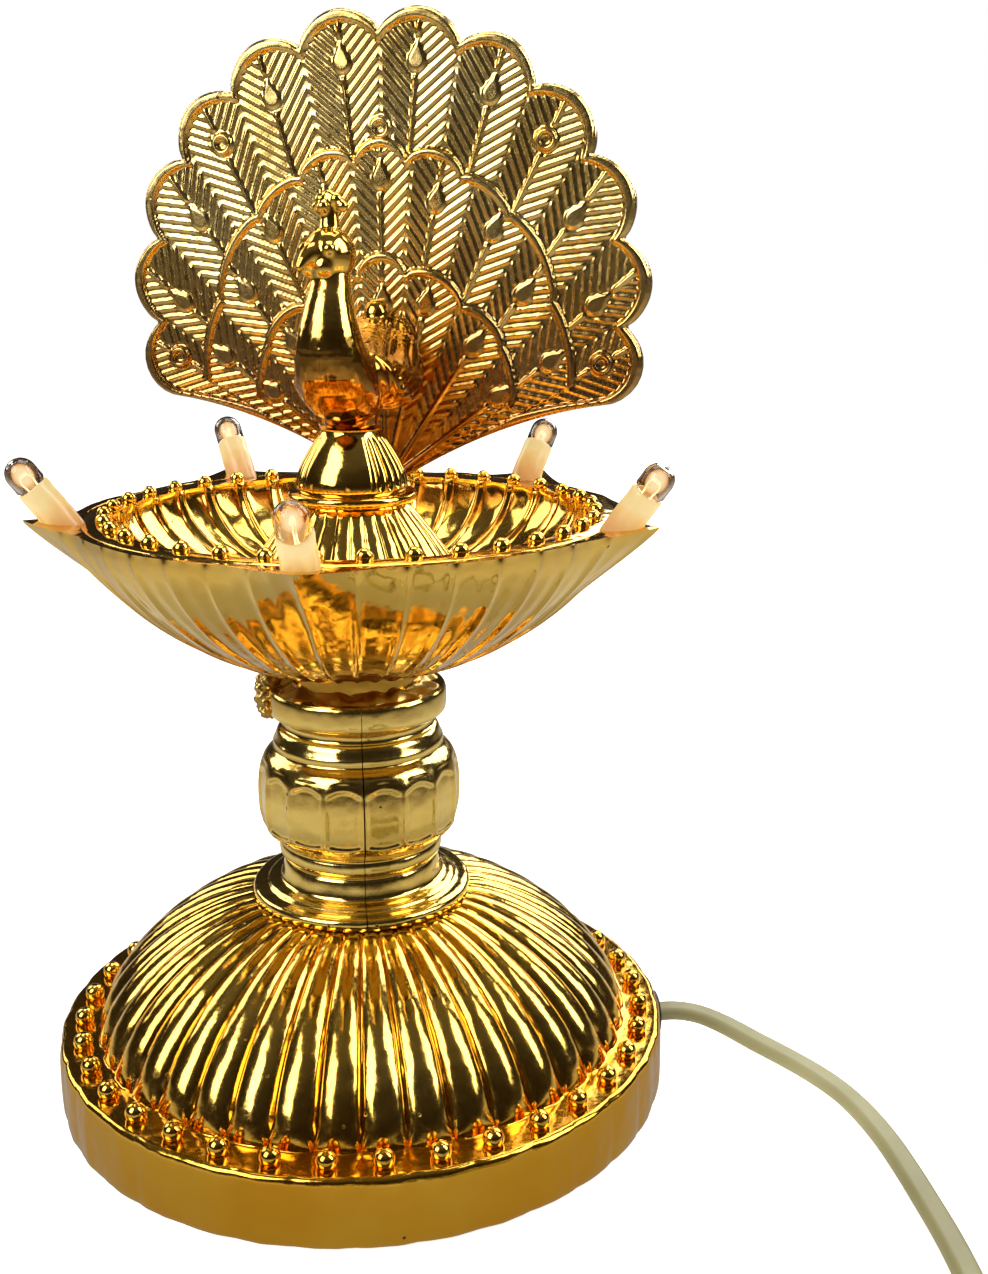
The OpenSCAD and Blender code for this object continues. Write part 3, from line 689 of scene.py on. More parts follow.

# %% [markdown]
# ## The gilded finish
# The plastic is plated in a vacuum, so it mirrors like metal, but over a skin that is not
# quite flat: it has slow waves from the mould, a fine orange peel, and small pits and dark
# specks where the coat has failed. One node group makes these for all gilded pieces. It
# gives a colour, a roughness and a height, and the metal shader stays in the material. A
# tint by height changes a gilding's colour towards some height. It gives the skirt its own
# deeper gold, paints shade at the base's flange and low on the bowl, and makes the bird and
# the tail darker and redder lower down.

# %% Gilding group
def gilt_surface():
    """Node group: vector in, and colour, roughness and relief of worn gilding out."""
    group = bpy.data.node_groups.new("gilt_surface", "ShaderNodeTree")
    for name, way, kind in (
            ("Vector", "INPUT", "Vector"), ("Bright", "INPUT", "Color"),
            ("Deep", "INPUT", "Color"), ("Specks", "INPUT", "Float"),
            ("Gloss", "INPUT", "Float"), ("Color", "OUTPUT", "Color"),
            ("Roughness", "OUTPUT", "Float"), ("Relief", "OUTPUT", "Float")):
        group.interface.new_socket(name, in_out=way, socket_type="NodeSocket" + kind)
    given = group.nodes.new("NodeGroupInput").outputs
    result = group.nodes.new("NodeGroupOutput").inputs
    link = group.links.new

    tone = noise_on(group, given["Vector"], 55.0, 3.0)
    waves = noise_on(group, given["Vector"], 210.0, 1.0)
    peel = noise_on(group, given["Vector"], 1500.0)

    # A pit is the middle of a cell, and only some cells have one
    pits = add_node(group, "ShaderNodeTexVoronoi", Scale=330.0)
    link(given["Vector"], pits.inputs["Vector"])
    near = remap(group, pits.outputs["Distance"], (0.05, 0.15), (1.0, 0.0))
    lot = add_node(group, "ShaderNodeSeparateColor")
    link(pits.outputs["Color"], lot.inputs["Color"])
    chosen = compute(group, "LESS_THAN", lot.outputs["Red"], given["Specks"])
    speck = compute(group, "MULTIPLY", near, chosen)

    gold = mix_colours(group, remap(group, tone, (0.35, 0.70)), given["Bright"], given["Deep"])
    link(mix_colours(group, speck, gold, (0.05, 0.022, 0.006, 1)), result["Color"])

    fine = remap(group, peel, (0.3, 0.7), (-0.025, 0.05))
    haze = compute(group, "ADD", fine, given["Gloss"])
    link(compute(group, "MULTIPLY_ADD", speck, 0.45, haze), result["Roughness"])

    ripple = compute(group, "MULTIPLY_ADD", peel, 0.05, waves)
    link(compute(group, "MULTIPLY_ADD", speck, -0.25, ripple), result["Relief"])
    return group


GILDING = gilt_surface()


def gilded(name, bright, deep, specks, gloss, relief=0.0003, tint_and_shade_by_height=None):
    """Mirror gilding in two tones of gold, worn by specks, with wavy relief.

    A tint and shade by height multiplies the colour by (metres, tint) stops; some is painted
    shade.
    """
    material, tree, shader = new_material(name)
    place = object_place(tree)
    surface = add_node(tree, "ShaderNodeGroup", node_tree=GILDING, Specks=specks, Gloss=gloss)
    surface.inputs["Bright"].default_value = (*bright, 1)
    surface.inputs["Deep"].default_value = (*deep, 1)
    tree.links.new(place, surface.inputs["Vector"])
    colour = surface.outputs["Color"]
    if tint_and_shade_by_height:
        parts = add_node(tree, "ShaderNodeSeparateXYZ")
        tree.links.new(place, parts.inputs["Vector"])
        tint_and_shade = ramp_between(tree, parts.outputs["Z"], tint_and_shade_by_height)
        colour = mix_colours(tree, 1.0, colour, tint_and_shade, "MULTIPLY")
    tree.links.new(colour, shader.inputs["Base Color"])
    tree.links.new(surface.outputs["Roughness"], shader.inputs["Roughness"])
    add_bump(tree, shader, surface.outputs["Relief"], 1.0, relief)
    shader.inputs["Metallic"].default_value = 1.0
    return material


GOLD, DEEP_GOLD = (0.95, 0.62, 0.13), (0.92, 0.53, 0.08)
# The base's height tint gives the skirt its own deeper gold, and paints shade in a brown band at
# the flange and the dome's foot
base_gilt = gilded("base_gilt", (0.88, 0.57, 0.12), (0.84, 0.48, 0.07), 0.05, 0.13,
                   tint_and_shade_by_height=[(0.0126, (1, 0.83, 0.36)), (0.0134, (0.66, 0.48, 0.26)),
                          (0.0141, (0.66, 0.48, 0.26)), (0.0162, (1, 1, 1))])
stem_gilt = gilded("stem_gilt", (0.93, 0.68, 0.20), (0.90, 0.60, 0.13), 0.10, 0.13)
# The bowl's height tint paints shade on its underside, darker towards its foot
bowl_gilt = gilded("bowl_gilt", (0.86, 0.58, 0.14), (0.82, 0.50, 0.09), 0.05, 0.11,
                   tint_and_shade_by_height=[(0.092, (0.74, 0.64, 0.46)), (0.106, (1, 1, 1))])
foot_gilt = gilded("foot_gilt", GOLD, DEEP_GOLD, 0.04, 0.09, 0.0002)
# The bird grows darker and redder towards its lower body
bird_gilt = gilded("bird_gilt", GOLD, DEEP_GOLD, 0.04, 0.11, 0.0002,
                   tint_and_shade_by_height=[(0.143, (0.52, 0.34, 0.28)), (0.158, (1, 1, 1))])
# The tail grows darker and redder towards its root
tail_gilt = gilded("tail_gilt", (0.88, 0.65, 0.24), (0.80, 0.53, 0.15), 0.14, 0.20, 0.0002,
                   tint_and_shade_by_height=[(0.128, (0.44, 0.28, 0.24)), (0.172, (1, 1, 1))])

# %% [markdown]
# ## The base
# The base is one shell: a skirt of 36 shallow scallops, a flat flange with a bead over each
# scallop, and a dome of 40 rounded flutes. The line is spun in half-degree steps. The rule
# then pushes the dome's outside in towards the point that its curve turns about, most between
# two flutes and not at all on their crests, so the valleys come out deep and narrow. They
# grow shallower at the dome's foot.

# %% Fluted base
SCALLOPS, SCALLOP_DEPTH = 36, 0.9
FLUTES, FLUTE_TURN, FLUTE_DEPTH = 40, 3.0, 0.043
BEAD_TURN, BEAD_RING_R, BEAD_R = 0.5, 57.2, 1.95
flange_z = 13.8
DOME_FOOT_R, DOME_HEAD_R, DOME_POWER = 54.0, 20.0, 1.6
TOE_HEIGHT, TOE_DEPTH = 4.0, 0.35


def make_base():
    edge = rounded([(base_r - 0.9, 0), (base_r, 0.7), (base_r - 0.15, flange_z - 1.1),
                    (base_r - 1.0, flange_z), (base_r - 2.2, flange_z - 0.15),
                    (DOME_FOOT_R + 0.2, flange_z - 0.15)], 2)
    dome = quarter(DOME_HEAD_R, DOME_FOOT_R, flange_z, dome_top, DOME_POWER, 2)
    inner = [(7.1, dome_top), (7.1, dome_top - 1.8)]
    inner += reversed(quarter(DOME_HEAD_R - 1, DOME_FOOT_R - 4, flange_z - 2, dome_top - 2,
                              DOME_POWER, 15))
    inner += [(base_r - 2.6, flange_z - 2.2), (base_r - 2.6, 0)]
    bm = turned(edge + dome + inner, 720)

    def flute(radius, angle, z):
        if radius > base_r - 1.3 and z < flange_z + 0.1:
            off = from_nearest(angle, 360 / SCALLOPS, BEAD_TURN) * math.pi / 20
            wave = 0.14 * noise.noise(Vector((angle * 0.35, z * 0.06, 3.1)))
            return radius - SCALLOP_DEPTH * (1 - math.cos(off)) + wave, angle, z
        outside = z > flange_z - 0.01 and radius < DOME_FOOT_R + 0.01
        if not outside or radius < DOME_HEAD_R + 0.01:
            return None
        off = from_nearest(angle, 360 / FLUTES, FLUTE_TURN) / (180 / FLUTES)
        crest = (1 - off * off) ** 0.62
        depth = FLUTE_DEPTH * radius * (1 - crest) * min(1, (radius - DOME_HEAD_R) / 4)
        depth *= TOE_DEPTH + (1 - TOE_DEPTH) * smooth_step((z - flange_z) / TOE_HEIGHT)
        away = Vector((radius - DOME_HEAD_R, z - flange_z)).normalized() * depth
        return radius - away.x, angle, z - away.y

    reshape(bm, flute)
    add_beads(bm, SCALLOPS, BEAD_TURN, BEAD_RING_R, flange_z + 0.9, BEAD_R, 18)
    return to_piece(bm, "fluted_base", base_gilt, ("base_shell",), sharp=60)


make_base()

# %% [markdown]
# ## The stem
# Two half mouldings meet on a seam that faces the front. Each half is the same line of rings,
# neck and barrel, spun through a little under 180 degrees, with its two cut faces filled, so
# that the seam shows. On the barrel, 16 arched niches are sunk under a smooth shoulder.

# %% Stem halves
SEAM = -70.0
NICHES = 16
BARREL_R = 20.3
STEM_LINE = [(21.4, 0), (22, 0.8), (22, 1.8), (21.4, 2.5), (19.2, 2.6), (18.6, 3.4),
             (16.6, 3.7), (16, 4.4), (15.6, 7.4), (15, 8.1), (16.3, 9), (16.4, 11),
             (15.8, 12), (17.2, 13.3), (19.3, 14.8), (BARREL_R - 0.2, 17.4), (BARREL_R, 21),
             (BARREL_R - 0.1, 24.6), (BARREL_R - 0.6, 27.8), (18.6, 30.1), (16.7, 31.4),
             (16.9, 32), (16.9, 32.8), (16.6, 33.2), (15.9, 35.2), (14.8, 35.6),
             (14.8, 37.4), (17.1, 38.2), (17.7, 39), (17.7, 42.7), (17.2, 43.5)]
STEM_INSIDE = [(13, 43.5), (13, 40.5), (11.4, 40.5), (13, 35.2), (17.8, 25.4), (17.6, 17.6),
               (13.4, 9), (14.2, 2), (7, 2), (7, 0)]
NICHE_FOOT, NICHE_HEAD, NICHE_RISE = 15.4, 28.0, 1.5
NICHE_HALF, NICHE_DEPTH, NICHE_HOLLOW = 3.75, 0.50, 0.22
SEAM_GAP = 0.6


def sink_niche(radius, angle, z):
    """Sinks the barrel's skin inside each arched niche."""
    height = z - dome_top
    if not NICHE_FOOT - 1 < height < NICHE_HEAD + 1 or radius < 18.5:
        return None
    side = abs(from_nearest(angle, 360 / NICHES, SEAM + 180 / NICHES)) * math.radians(BARREL_R)
    bend = NICHE_RISE * (side / NICHE_HALF) ** 2
    inside = min(NICHE_HALF - side, NICHE_HEAD - bend - height, height - NICHE_FOOT - 0.5 * bend)
    sunk = NICHE_DEPTH * smooth_step(inside / 0.95)
    sunk += NICHE_HOLLOW * smooth_step((NICHE_HALF - side) / NICHE_HALF)
    return radius - sunk, angle, z


def make_stem_half(name, start, node):
    outside = split_long(rounded(STEM_LINE, 2), 0.5)
    line = [(r, z + dome_top) for r, z in outside + STEM_INSIDE]
    bm = turned(line, 210, start + SEAM_GAP / 2, 180 - SEAM_GAP)
    reshape(bm, sink_niche)
    roughen(bm, 0.10, 9.0, lambda point: polar(point)[0] > 14)
    return to_piece(bm, name, stem_gilt, (node,), sharp=50)


make_stem_half("stem_half_right", SEAM, "stem_right")
make_stem_half("stem_half_left", SEAM + 180, "stem_left")

# %% [markdown]
# ## The glue
# The bowl's neck is glued to the stem. The glue has run out in a rough ring, with a cluster
# of lumps on its left. A turned ring and a few balls are roughened by noise.

# %% Glue round the neck
glue_finish = gilded("glued_gilt", (0.66, 0.46, 0.13), (0.42, 0.25, 0.06), 0.55, 0.30, 0.0008)
# Each lump: its turn in degrees, its height and its radius
GLUE_LUMPS = [(193, 80.0, 2.6), (200, 81.3, 2.6), (190, 82.8, 2.3), (197, 84.0, 2.6),
              (204, 79.9, 1.9), (195, 78.4, 1.8)]


def make_glue():
    line = rounded([(12.6, seat_z - 1.5), (12.6, seat_z + 1.6), (13.5, seat_z + 1.2),
                    (15.2, seat_z + 0.35), (16.2, seat_z - 0.4), (16.2, seat_z - 1.5)], 2)
    bm = turned(line, 160)
    roughen(bm, 1.1, 3.0, lambda point: polar(point)[0] > 12.9 and point.z > seat_z - 0.6)
    for angle, z, size in GLUE_LUMPS:
        lump = bmesh.new()
        bmesh.ops.create_icosphere(lump, subdivisions=4, radius=size,
                                   matrix=Matrix.Translation(at_polar(17.4, angle, z)))
        roughen(lump, 1.0, 1.1)
        join_into(bm, lump)
    return to_piece(bm, "glue_ring", glue_finish, ("neck_glue",), sharp=80)


make_glue()

# %% [markdown]
# ## The bowl
# The outer bowl has 40 thin raised ribs between broad smooth panels, and its rim is drawn
# out to five pointed spouts with a keel under each. Half-degree steps are too coarse for so
# thin a rib, so the steps are first crowded together round each rib, and then the rib rises.

# %% Outer bowl
RIBS = 40
SPOUTS = 5
SPOUT_TURN = -81.0
SPOUT_REACH = 8.1
NECK_R = 12.9
BOWL_R = 52.5
BOWL_FOOT_Z = 88.0
BOWL_POWER, BOWL_WALL = 1.5, 1.7
RIB_HEIGHT, RIB_WIDTH, PANEL_HOLLOW = 0.42, 0.7, 0.14


def spout_pull(angle):
    """How strongly the rim is drawn out at an angle: 1 at the tip of a spout."""
    off = abs(from_nearest(angle, 360 / SPOUTS, SPOUT_TURN)) / 15.0
    return max(0.0, 1 - off) ** 1.5


def make_bowl():
    wall = list(reversed(quarter(NECK_R, BOWL_R, rim_z, BOWL_FOOT_Z, BOWL_POWER, 2.5)))
    outside = [(NECK_R, seat_z - 3)] + split_long([(NECK_R, seat_z - 2), (NECK_R, BOWL_FOOT_Z)], 1)
    outside += wall[1:]
    coarse = list(reversed(quarter(NECK_R, BOWL_R, rim_z, BOWL_FOOT_Z, BOWL_POWER, 7.5)))
    inside = [(BOWL_R - BOWL_WALL, rim_z)]
    inside += [(r, z) for r, z in reversed(beside(coarse, BOWL_WALL))
               if r > 11.5 and z < rim_z - 0.6]
    inside += [(11, BOWL_FOOT_Z + 1.2), (11, seat_z - 3)]
    line = outside + [(BOWL_R - 0.4, rim_z + 0.05)] + inside
    bm = turned(line, 720)
    outer_line = sorted((z, r) for r, z in outside)

    def rib(radius, angle, z):
        skin = radius > 11.4 and radius > next(
            (r for height, r in outer_line if height >= z - 1e-4), BOWL_R) - 0.9
        if not skin:
            return None
        pitch = 360 / RIBS
        off = from_nearest(angle, pitch, SPOUT_TURN) / (pitch / 2)
        crowded = math.copysign(abs(off) ** 1.7, off)
        angle += (crowded - off) * pitch / 2
        side = abs(crowded) * math.radians(pitch / 2) * radius
        if z > BOWL_FOOT_Z and z < rim_z - 0.3:
            high = smooth_step((rim_z + 4 - z) / 18)
            height = RIB_HEIGHT * math.exp(-(side / RIB_WIDTH) ** 2)
            height *= smooth_step((z - BOWL_FOOT_Z) / 2.5) * (0.35 + 0.65 * high)
            hollow = PANEL_HOLLOW * math.sin(math.pi * min(1, abs(crowded))) * (radius / BOWL_R)
            radius += height - hollow
            z -= 0.5 * height
        rise = max(0.0, (z - (rim_z - 13)) / 13) ** 1.6
        pull = spout_pull(angle) * rise
        wavy = 0.3 * noise.noise(Vector((angle * 0.12, 0.4, 7.0))) * rise
        return radius + SPOUT_REACH * pull + wavy, angle, z + 0.9 * pull * pull + wavy * 0.8

    reshape(bm, rib)
    return to_piece(bm, "ribbed_bowl", bowl_gilt, ("bowl_shell",), sharp=55)


make_bowl()

# %% [markdown]
# ## The dish and its cone
# The dish is a second moulding inside the bowl. Its flat lip carries 36 beads, and under each
# bead a thin ridge runs down between two scooped panels. The fluted cone stands in its
# middle and carries the peacock on a small disc.

# %% Dish
DISH_BEADS = 36
DISH_R, DISH_FLOOR_R = 45.0, 24.0
DISH_FLOOR = 103.5
DISH_POWER, DISH_WALL = 1.8, 1.2
dish_gilt = gilded("dish_gilt", GOLD, DEEP_GOLD, 0.08, 0.11)


def make_dish():
    curve = (DISH_FLOOR_R, DISH_R, rim_z - 0.6, DISH_FLOOR, DISH_POWER)
    scoop = list(reversed(quarter(*curve, 3)))
    under = [(r, z) for r, z in beside(quarter(*curve, 9), DISH_WALL) if z < rim_z - 1.8]
    lip = [(DISH_R + 0.2, rim_z - 0.1), (DISH_R + 0.9, rim_z), (BOWL_R - 2.1, rim_z),
           (BOWL_R - 1.95, rim_z - 0.2), (BOWL_R - 2.6, rim_z - 1.3), (DISH_R + 1.6, rim_z - 1.3)]
    line = [(10, DISH_FLOOR)]
    line += split_long([(14, DISH_FLOOR), (DISH_FLOOR_R, DISH_FLOOR)], 2)
    line += scoop[1:] + lip + under + [(10, DISH_FLOOR - 1.4)]
    bm = turned(line, 720)

    def ridge(radius, angle, z):
        if z < DISH_FLOOR - 0.1 or radius > DISH_R + 0.05 or radius < DISH_FLOOR_R + 0.5:
            return None
        pitch = 360 / DISH_BEADS
        off = from_nearest(angle, pitch) / (pitch / 2)
        crowded = math.copysign(abs(off) ** 1.5, off)
        side = abs(crowded) * math.radians(pitch / 2) * radius
        crest = 0.60 * math.exp(-(side / 0.6) ** 2)
        scooped = 0.28 * math.sin(math.pi / 2 * min(1, side / 2.6))
        fade = smooth_step((radius - DISH_FLOOR_R - 0.5) / 5)
        away = Vector((radius - DISH_FLOOR_R, z - rim_z)).normalized() * (scooped - crest) * fade
        return radius + away.x, angle + (crowded - off) * pitch / 2, z + away.y

    reshape(bm, ridge)
    add_beads(bm, DISH_BEADS, 0, DISH_R + 1.5, rim_z + 0.55, 1.5, 14)
    return to_piece(bm, "beaded_dish", dish_gilt, ("bowl_liner",), sharp=55)


make_dish()

# %% Cone and foot
CONE_FLUTES = 30
CONE_TOP = 119.6
cone_r = node_box("center_cone")[1].x
disc_r = 12.3
disc_z = 120.8
foot_z = node_box("peacock_foot")[0].z


def make_cone():
    neck_r = disc_r - 1.6
    line = split_long([(cone_r, DISH_FLOOR), (19.5, 108.2), (15.2, 114.2),
                       (neck_r, CONE_TOP)], 0.8)
    line += rounded([(disc_r - 0.6, disc_z - 0.7), (disc_r, disc_z - 0.2),
                     (disc_r, foot_z - 0.6), (disc_r - 0.5, foot_z), (1.7, foot_z)], 1)
    line += [(1.7, disc_z - 1.6), (neck_r - 1.6, disc_z - 1.8), (cone_r - 2, DISH_FLOOR)]
    bm = turned(line, 540)

    def flute(radius, angle, z):
        if z > CONE_TOP + 0.1 or radius < 10.5 + (CONE_TOP - z) * 0.5:
            return None
        off = from_nearest(angle, 360 / CONE_FLUTES, SPOUT_TURN) / (180 / CONE_FLUTES)
        sunk = 0.85 * (1 - (1 - off * off) ** 0.6) * radius / 20
        return radius - sunk * min(1, (CONE_TOP + 0.1 - z) / 2), angle, z

    reshape(bm, flute)
    return to_piece(bm, "fluted_cone", dish_gilt, ("center_cone",), sharp=55)


FOOT_LINE = [(10.3, 0), (10.7, 0.7), (10.6, 2.4), (9.8, 4.8), (8.5, 7.0), (7.1, 9.2), (5.9, 10.8),
             (5.6, 11.6), (5.9, 11.8)]
FOOT_FRONT = -90.0
FOOT_SMOOTH, FOOT_RIDGES = 37.0, 30


def make_foot():
    line = split_long(rounded(FOOT_LINE, 2), 0.4) + [(2.1, 11.8), (2.1, 9.5), (1.4, 7), (1.4, 0)]
    bm = turned([(r, z + foot_z) for r, z in line], 432)

    def ridge(radius, angle, z):
        from_front = abs(from_nearest(angle, 360, FOOT_FRONT))
        height = z - foot_z
        if from_front < FOOT_SMOOTH or radius < 5 or not 0.6 < height < 11:
            return None
        off = from_nearest(angle, 360 / FOOT_RIDGES) / (180 / FOOT_RIDGES)
        fade = smooth_step((from_front - FOOT_SMOOTH) / 3) * smooth_step((height - 0.6) / 1.2)
        fade *= smooth_step((11 - height) / 2)
        sunk = 0.085 * radius * (1 - (1 - off * off) ** 0.6) * fade
        return radius - sunk, angle, z

    reshape(bm, ridge)
    return to_piece(bm, "bell_foot", foot_gilt, ("peacock_foot",), sharp=50)


make_cone()
make_foot()

# %% [markdown]
# ## The open tail
# The tail is a fan of feathers in three overlapping tiers, moulded in relief. Every feather
# spreads from one root point. It has a raised shaft, slanted barbs, a teardrop eye near its
# tip and a raised arched border. A fine square grid is cut to the fan's outline, and each of
# its vertices is lifted by the relief at its place. A grid of rings and spokes would be too
# coarse for the barbs at the fan's edge.

# %% Fan outline
FAN_CENTRE = Vector((0, 37.5))
NOTCH_R, LOBE_BULGE, NOTCH_STEP = 49.8, 4.6, 19.3
FAN_WIDTH = 0.985
END_LOBE, END_LOBE_R = Vector((44.9, 24.8)), 8.1
EDGE_FOOT = (Vector((44.9, 16.7)), Vector((24, 13.6)), Vector((3, 0.6)))


def half_outline():
    """The fan's right-hand edge, from the top notch round the lobes and in to the root."""
    edge = []
    for i in range(5 * 16 + 1):
        a = i * NOTCH_STEP / 16
        reach = NOTCH_R + LOBE_BULGE * abs(math.sin(math.radians(a * 180 / NOTCH_STEP))) ** 0.75
        edge.append(FAN_CENTRE + reach * Vector((math.sin(math.radians(a)),
                                                 math.cos(math.radians(a)))))
    for i in range(1, 11):
        a = math.radians(52 - 14 * i)
        edge.append(END_LOBE + END_LOBE_R * Vector((math.cos(a), math.sin(a))))
    start, middle, end = EDGE_FOOT
    for i in range(1, 25):
        t = i / 24
        edge.append((1 - t) ** 2 * start + 2 * t * (1 - t) * middle + t * t * end)
    return edge + [Vector((0, -0.2))]


def bearing(point, origin):
    """Angle in degrees of a point seen from an origin, from straight up to the right."""
    return math.degrees(math.atan2(point.x - origin.x, point.y - origin.y))


outline = [(bearing(p, FAN_CENTRE), (p - FAN_CENTRE).length) for p in half_outline()]
outline[-1] = (180.0, outline[-1][1])


def reach_between(angle):
    """Distance from the fan's centre to its edge at a bearing, between two outline points."""
    for (a0, r0), (a1, r1) in zip(outline, outline[1:]):
        if a0 <= angle <= a1:
            return r0 + (r1 - r0) * (angle - a0) / max(a1 - a0, 1e-6)
    return outline[-1][1]


REACH_STEP = 0.25
reaches = [reach_between(i * REACH_STEP) for i in range(int(180 / REACH_STEP) + 1)]


def edge_reach(angle):
    """The same distance, from a table."""
    place = min(abs(angle), 179.99) / REACH_STEP
    low = int(place)
    return reaches[low] + (reaches[low + 1] - reaches[low]) * (place - low)


# %% Feather relief
ROOT = Vector((0, 0))


def mirrored(points):
    """Bearing and distance from the root, for points and for their mirror images."""
    return sorted({(side * bearing(p, ROOT), p.length) for p in map(Vector, points)
                   for side in (-1, 1)})


class Tier:
    """One tier of feathers: where its shafts point, its eyes, where its arches peak and meet."""

    def __init__(self, lift, shafts, eyes, peaks=(), valleys=()):
        self.lift = lift
        self.shafts = sorted({side * a for a in shafts for side in (-1, 1)})
        self.eyes = eyes
        self.peaks = mirrored(peaks)
        self.meets = mirrored(valleys)

    def reach(self, angle):
        """Distance from the root to the tier's arched edge, or none beyond its last feather."""
        for (a0, r0), (a1, r1) in zip(self.meets, self.meets[1:]):
            if a0 <= angle <= a1:
                t = (angle - a0) / (a1 - a0)
                tip = [r for a, r in self.peaks if a0 < a < a1]
                base = r0 + (r1 - r0) * t
                rise = (tip[0] if tip else (r0 + r1) / 2) - (r0 + r1) / 2
                return base + rise * (1 - (2 * t - 1) ** 2) ** 0.6
        return None


OUTER = Tier(0.0, (5.3, 16.6, 26.7, 36.7, 50.4, 61),
             [(7.6, 81.6), (22.4, 75.3), (39, 52.3), (43.5, 36)])
MIDDLE = Tier(0.4, (0, 11.5, 24.7, 37.3, 54),
              [(0, 60), (11.3, 55.4), (23, 50), (29, 38), (34.5, 25)],
              [(0, 67.6), (11, 65.5), (22.5, 58.7), (33, 47), (39, 29)],
              [(5.3, 63.2), (16.8, 60.4), (26.4, 53.3), (35.4, 36.8), (39.5, 20.5)])
INNER = Tier(0.8, (0, 14, 34, 53),
             [(0, 36.3), (9, 35.8), (19, 28), (24, 18)],
             [(0, 46), (10.2, 42.5), (22, 34), (27.2, 23.2)],
             [(5, 41.6), (16.8, 35.8), (25.2, 28.1), (27.6, 17.0)])
BOSSES = [(0, 69.3), (33.3, 66.7), (44.9, 24.8)]
BARB_PITCH, BARB_SLANT = 2.25, 0.95
OUTER_RIM, INNER_RIM = 1.3, 0.95


def ridge(distance, width):
    """A rounded ridge: 1 on its line and 0 beyond its width."""
    return max(0.0, 1 - (distance / width) ** 2)


def feather(tier, angle, radius):
    """Relief of the feather under a point: its shaft and its barbs."""
    shaft, neighbour = sorted(tier.shafts, key=lambda a: abs(a - angle))[:2]
    off = math.radians(angle - shaft)
    along, across = radius * math.cos(off), abs(radius * math.sin(off))
    stem = 0.6 * ridge(across, 0.5)
    seam = math.radians(abs(angle - (shaft + neighbour) / 2)) * radius
    if abs(angle) > max(tier.shafts):
        seam = radius
    phase = ((along - BARB_SLANT * across) / BARB_PITCH) % 1.0
    barb = 0.30 * ridge(abs(phase - 0.5) * BARB_PITCH, 0.52)
    gap = smooth_step((across - 0.55) / 0.3) * smooth_step((seam - 0.1) / 0.3)
    fade = smooth_step((radius - 8) / 12)
    return max(stem, barb * gap * fade)


def eye_relief(tier, u, v):
    """A smooth teardrop that points outwards, on each feather of a tier."""
    best, mask = 0.0, 0.0
    for x, y in tier.eyes:
        centre = Vector((x, y))
        outward = centre.normalized()
        gap = Vector((abs(u), v)) - centre
        if gap.length > 6:
            continue
        along = gap.dot(outward)
        across = gap.x * outward.y - gap.y * outward.x
        wide = 2.1 - 0.42 * max(0.0, along - 0.2)
        size = math.hypot(across / max(wide, 0.35), along / (4.2 if along > 0 else 2.5))
        best = max(best, 0.42 * smooth_step((1 - size) / 0.35))
        mask = max(mask, smooth_step((1.22 - size) / 0.2))
    return best, mask


def fan_relief(u, v, to_edge):
    """Height of the fan's face at a place, given its distance from the outer edge."""
    here = Vector((u, v))
    angle, radius = bearing(here, ROOT), here.length
    tier, border = OUTER, to_edge - OUTER_RIM
    for over in (MIDDLE, INNER):
        reach = over.reach(angle)
        if reach is not None and radius < reach:
            tier, border = over, reach - radius - INNER_RIM
    height = feather(tier, angle, radius)
    bump, mask = eye_relief(tier, u, v)
    height = height * (1 - mask) + bump
    for x, y in BOSSES:
        off = math.hypot(abs(u) - x, v - y)
        if tier is OUTER and off < 4:
            height *= smooth_step((off - 2.4) / 0.8)
            height += 1.0 * smooth_step((2.5 - off) / 0.7) - 0.8 * smooth_step((1.4 - off) / 0.6)
    rim_width = OUTER_RIM if tier is OUTER else INNER_RIM
    flat = smooth_step((rim_width - abs(border)) / (0.5 * rim_width))
    height = max(height * smooth_step((border - rim_width * 0.8) / 0.5),
                 (0.95 if tier is OUTER else 0.75) * flat)
    if tier is OUTER:
        height *= smooth_step(to_edge / 0.35) * 0.9 + 0.1
    return height + tier.lift


# %% Fan plates
def fan_grid(cell):
    """A square grid cut to the fan's outline, with each vertex's distance to the edge."""
    wide, tall, middle_z = 112, 102, 43
    bm = bmesh.new()
    bmesh.ops.create_grid(bm, x_segments=round(wide / cell), y_segments=round(tall / cell),
                          size=0.5)
    edge = bm.verts.layers.float.new("to_edge")
    for vertex in bm.verts:
        here = Vector((vertex.co.x * wide, vertex.co.y * tall + middle_z))
        vertex[edge] = edge_reach(bearing(here, FAN_CENTRE)) - (here - FAN_CENTRE).length
        vertex.co = Vector((here.x, 0, here.y))
    outside = [face for face in bm.faces if all(v[edge] <= 0 for v in face.verts)]
    bmesh.ops.delete(bm, geom=outside, context="FACES")
    for vertex in bm.verts:
        if vertex[edge] < 0:
            gap = Vector((vertex.co.x, vertex.co.z)) - FAN_CENTRE
            gap *= edge_reach(bearing(gap, ROOT)) / gap.length
            vertex.co = Vector((gap.x, 0, FAN_CENTRE.y + gap.y))
            vertex[edge] = 0
    return bm, edge


def close_plate(bm, thickness):
    """Extrudes a plate's edge backwards, then gathers it to one point behind the fan's centre.

    Every point of the edge can be seen from that centre, so the gathered back is flat.
    """
    loop = [e for e in bm.edges if e.is_boundary]
    for _ in range(2):
        made = bmesh.ops.extrude_edge_only(bm, edges=loop)["geom"]
        corners = [item for item in made if isinstance(item, bmesh.types.BMVert)]
        loop = [e for e in made if isinstance(e, bmesh.types.BMEdge) and e.is_boundary]
        for vertex in corners:
            vertex.co.y = thickness
    bmesh.ops.pointmerge(bm, verts=corners, merge_co=(0, thickness, FAN_CENTRE.y))


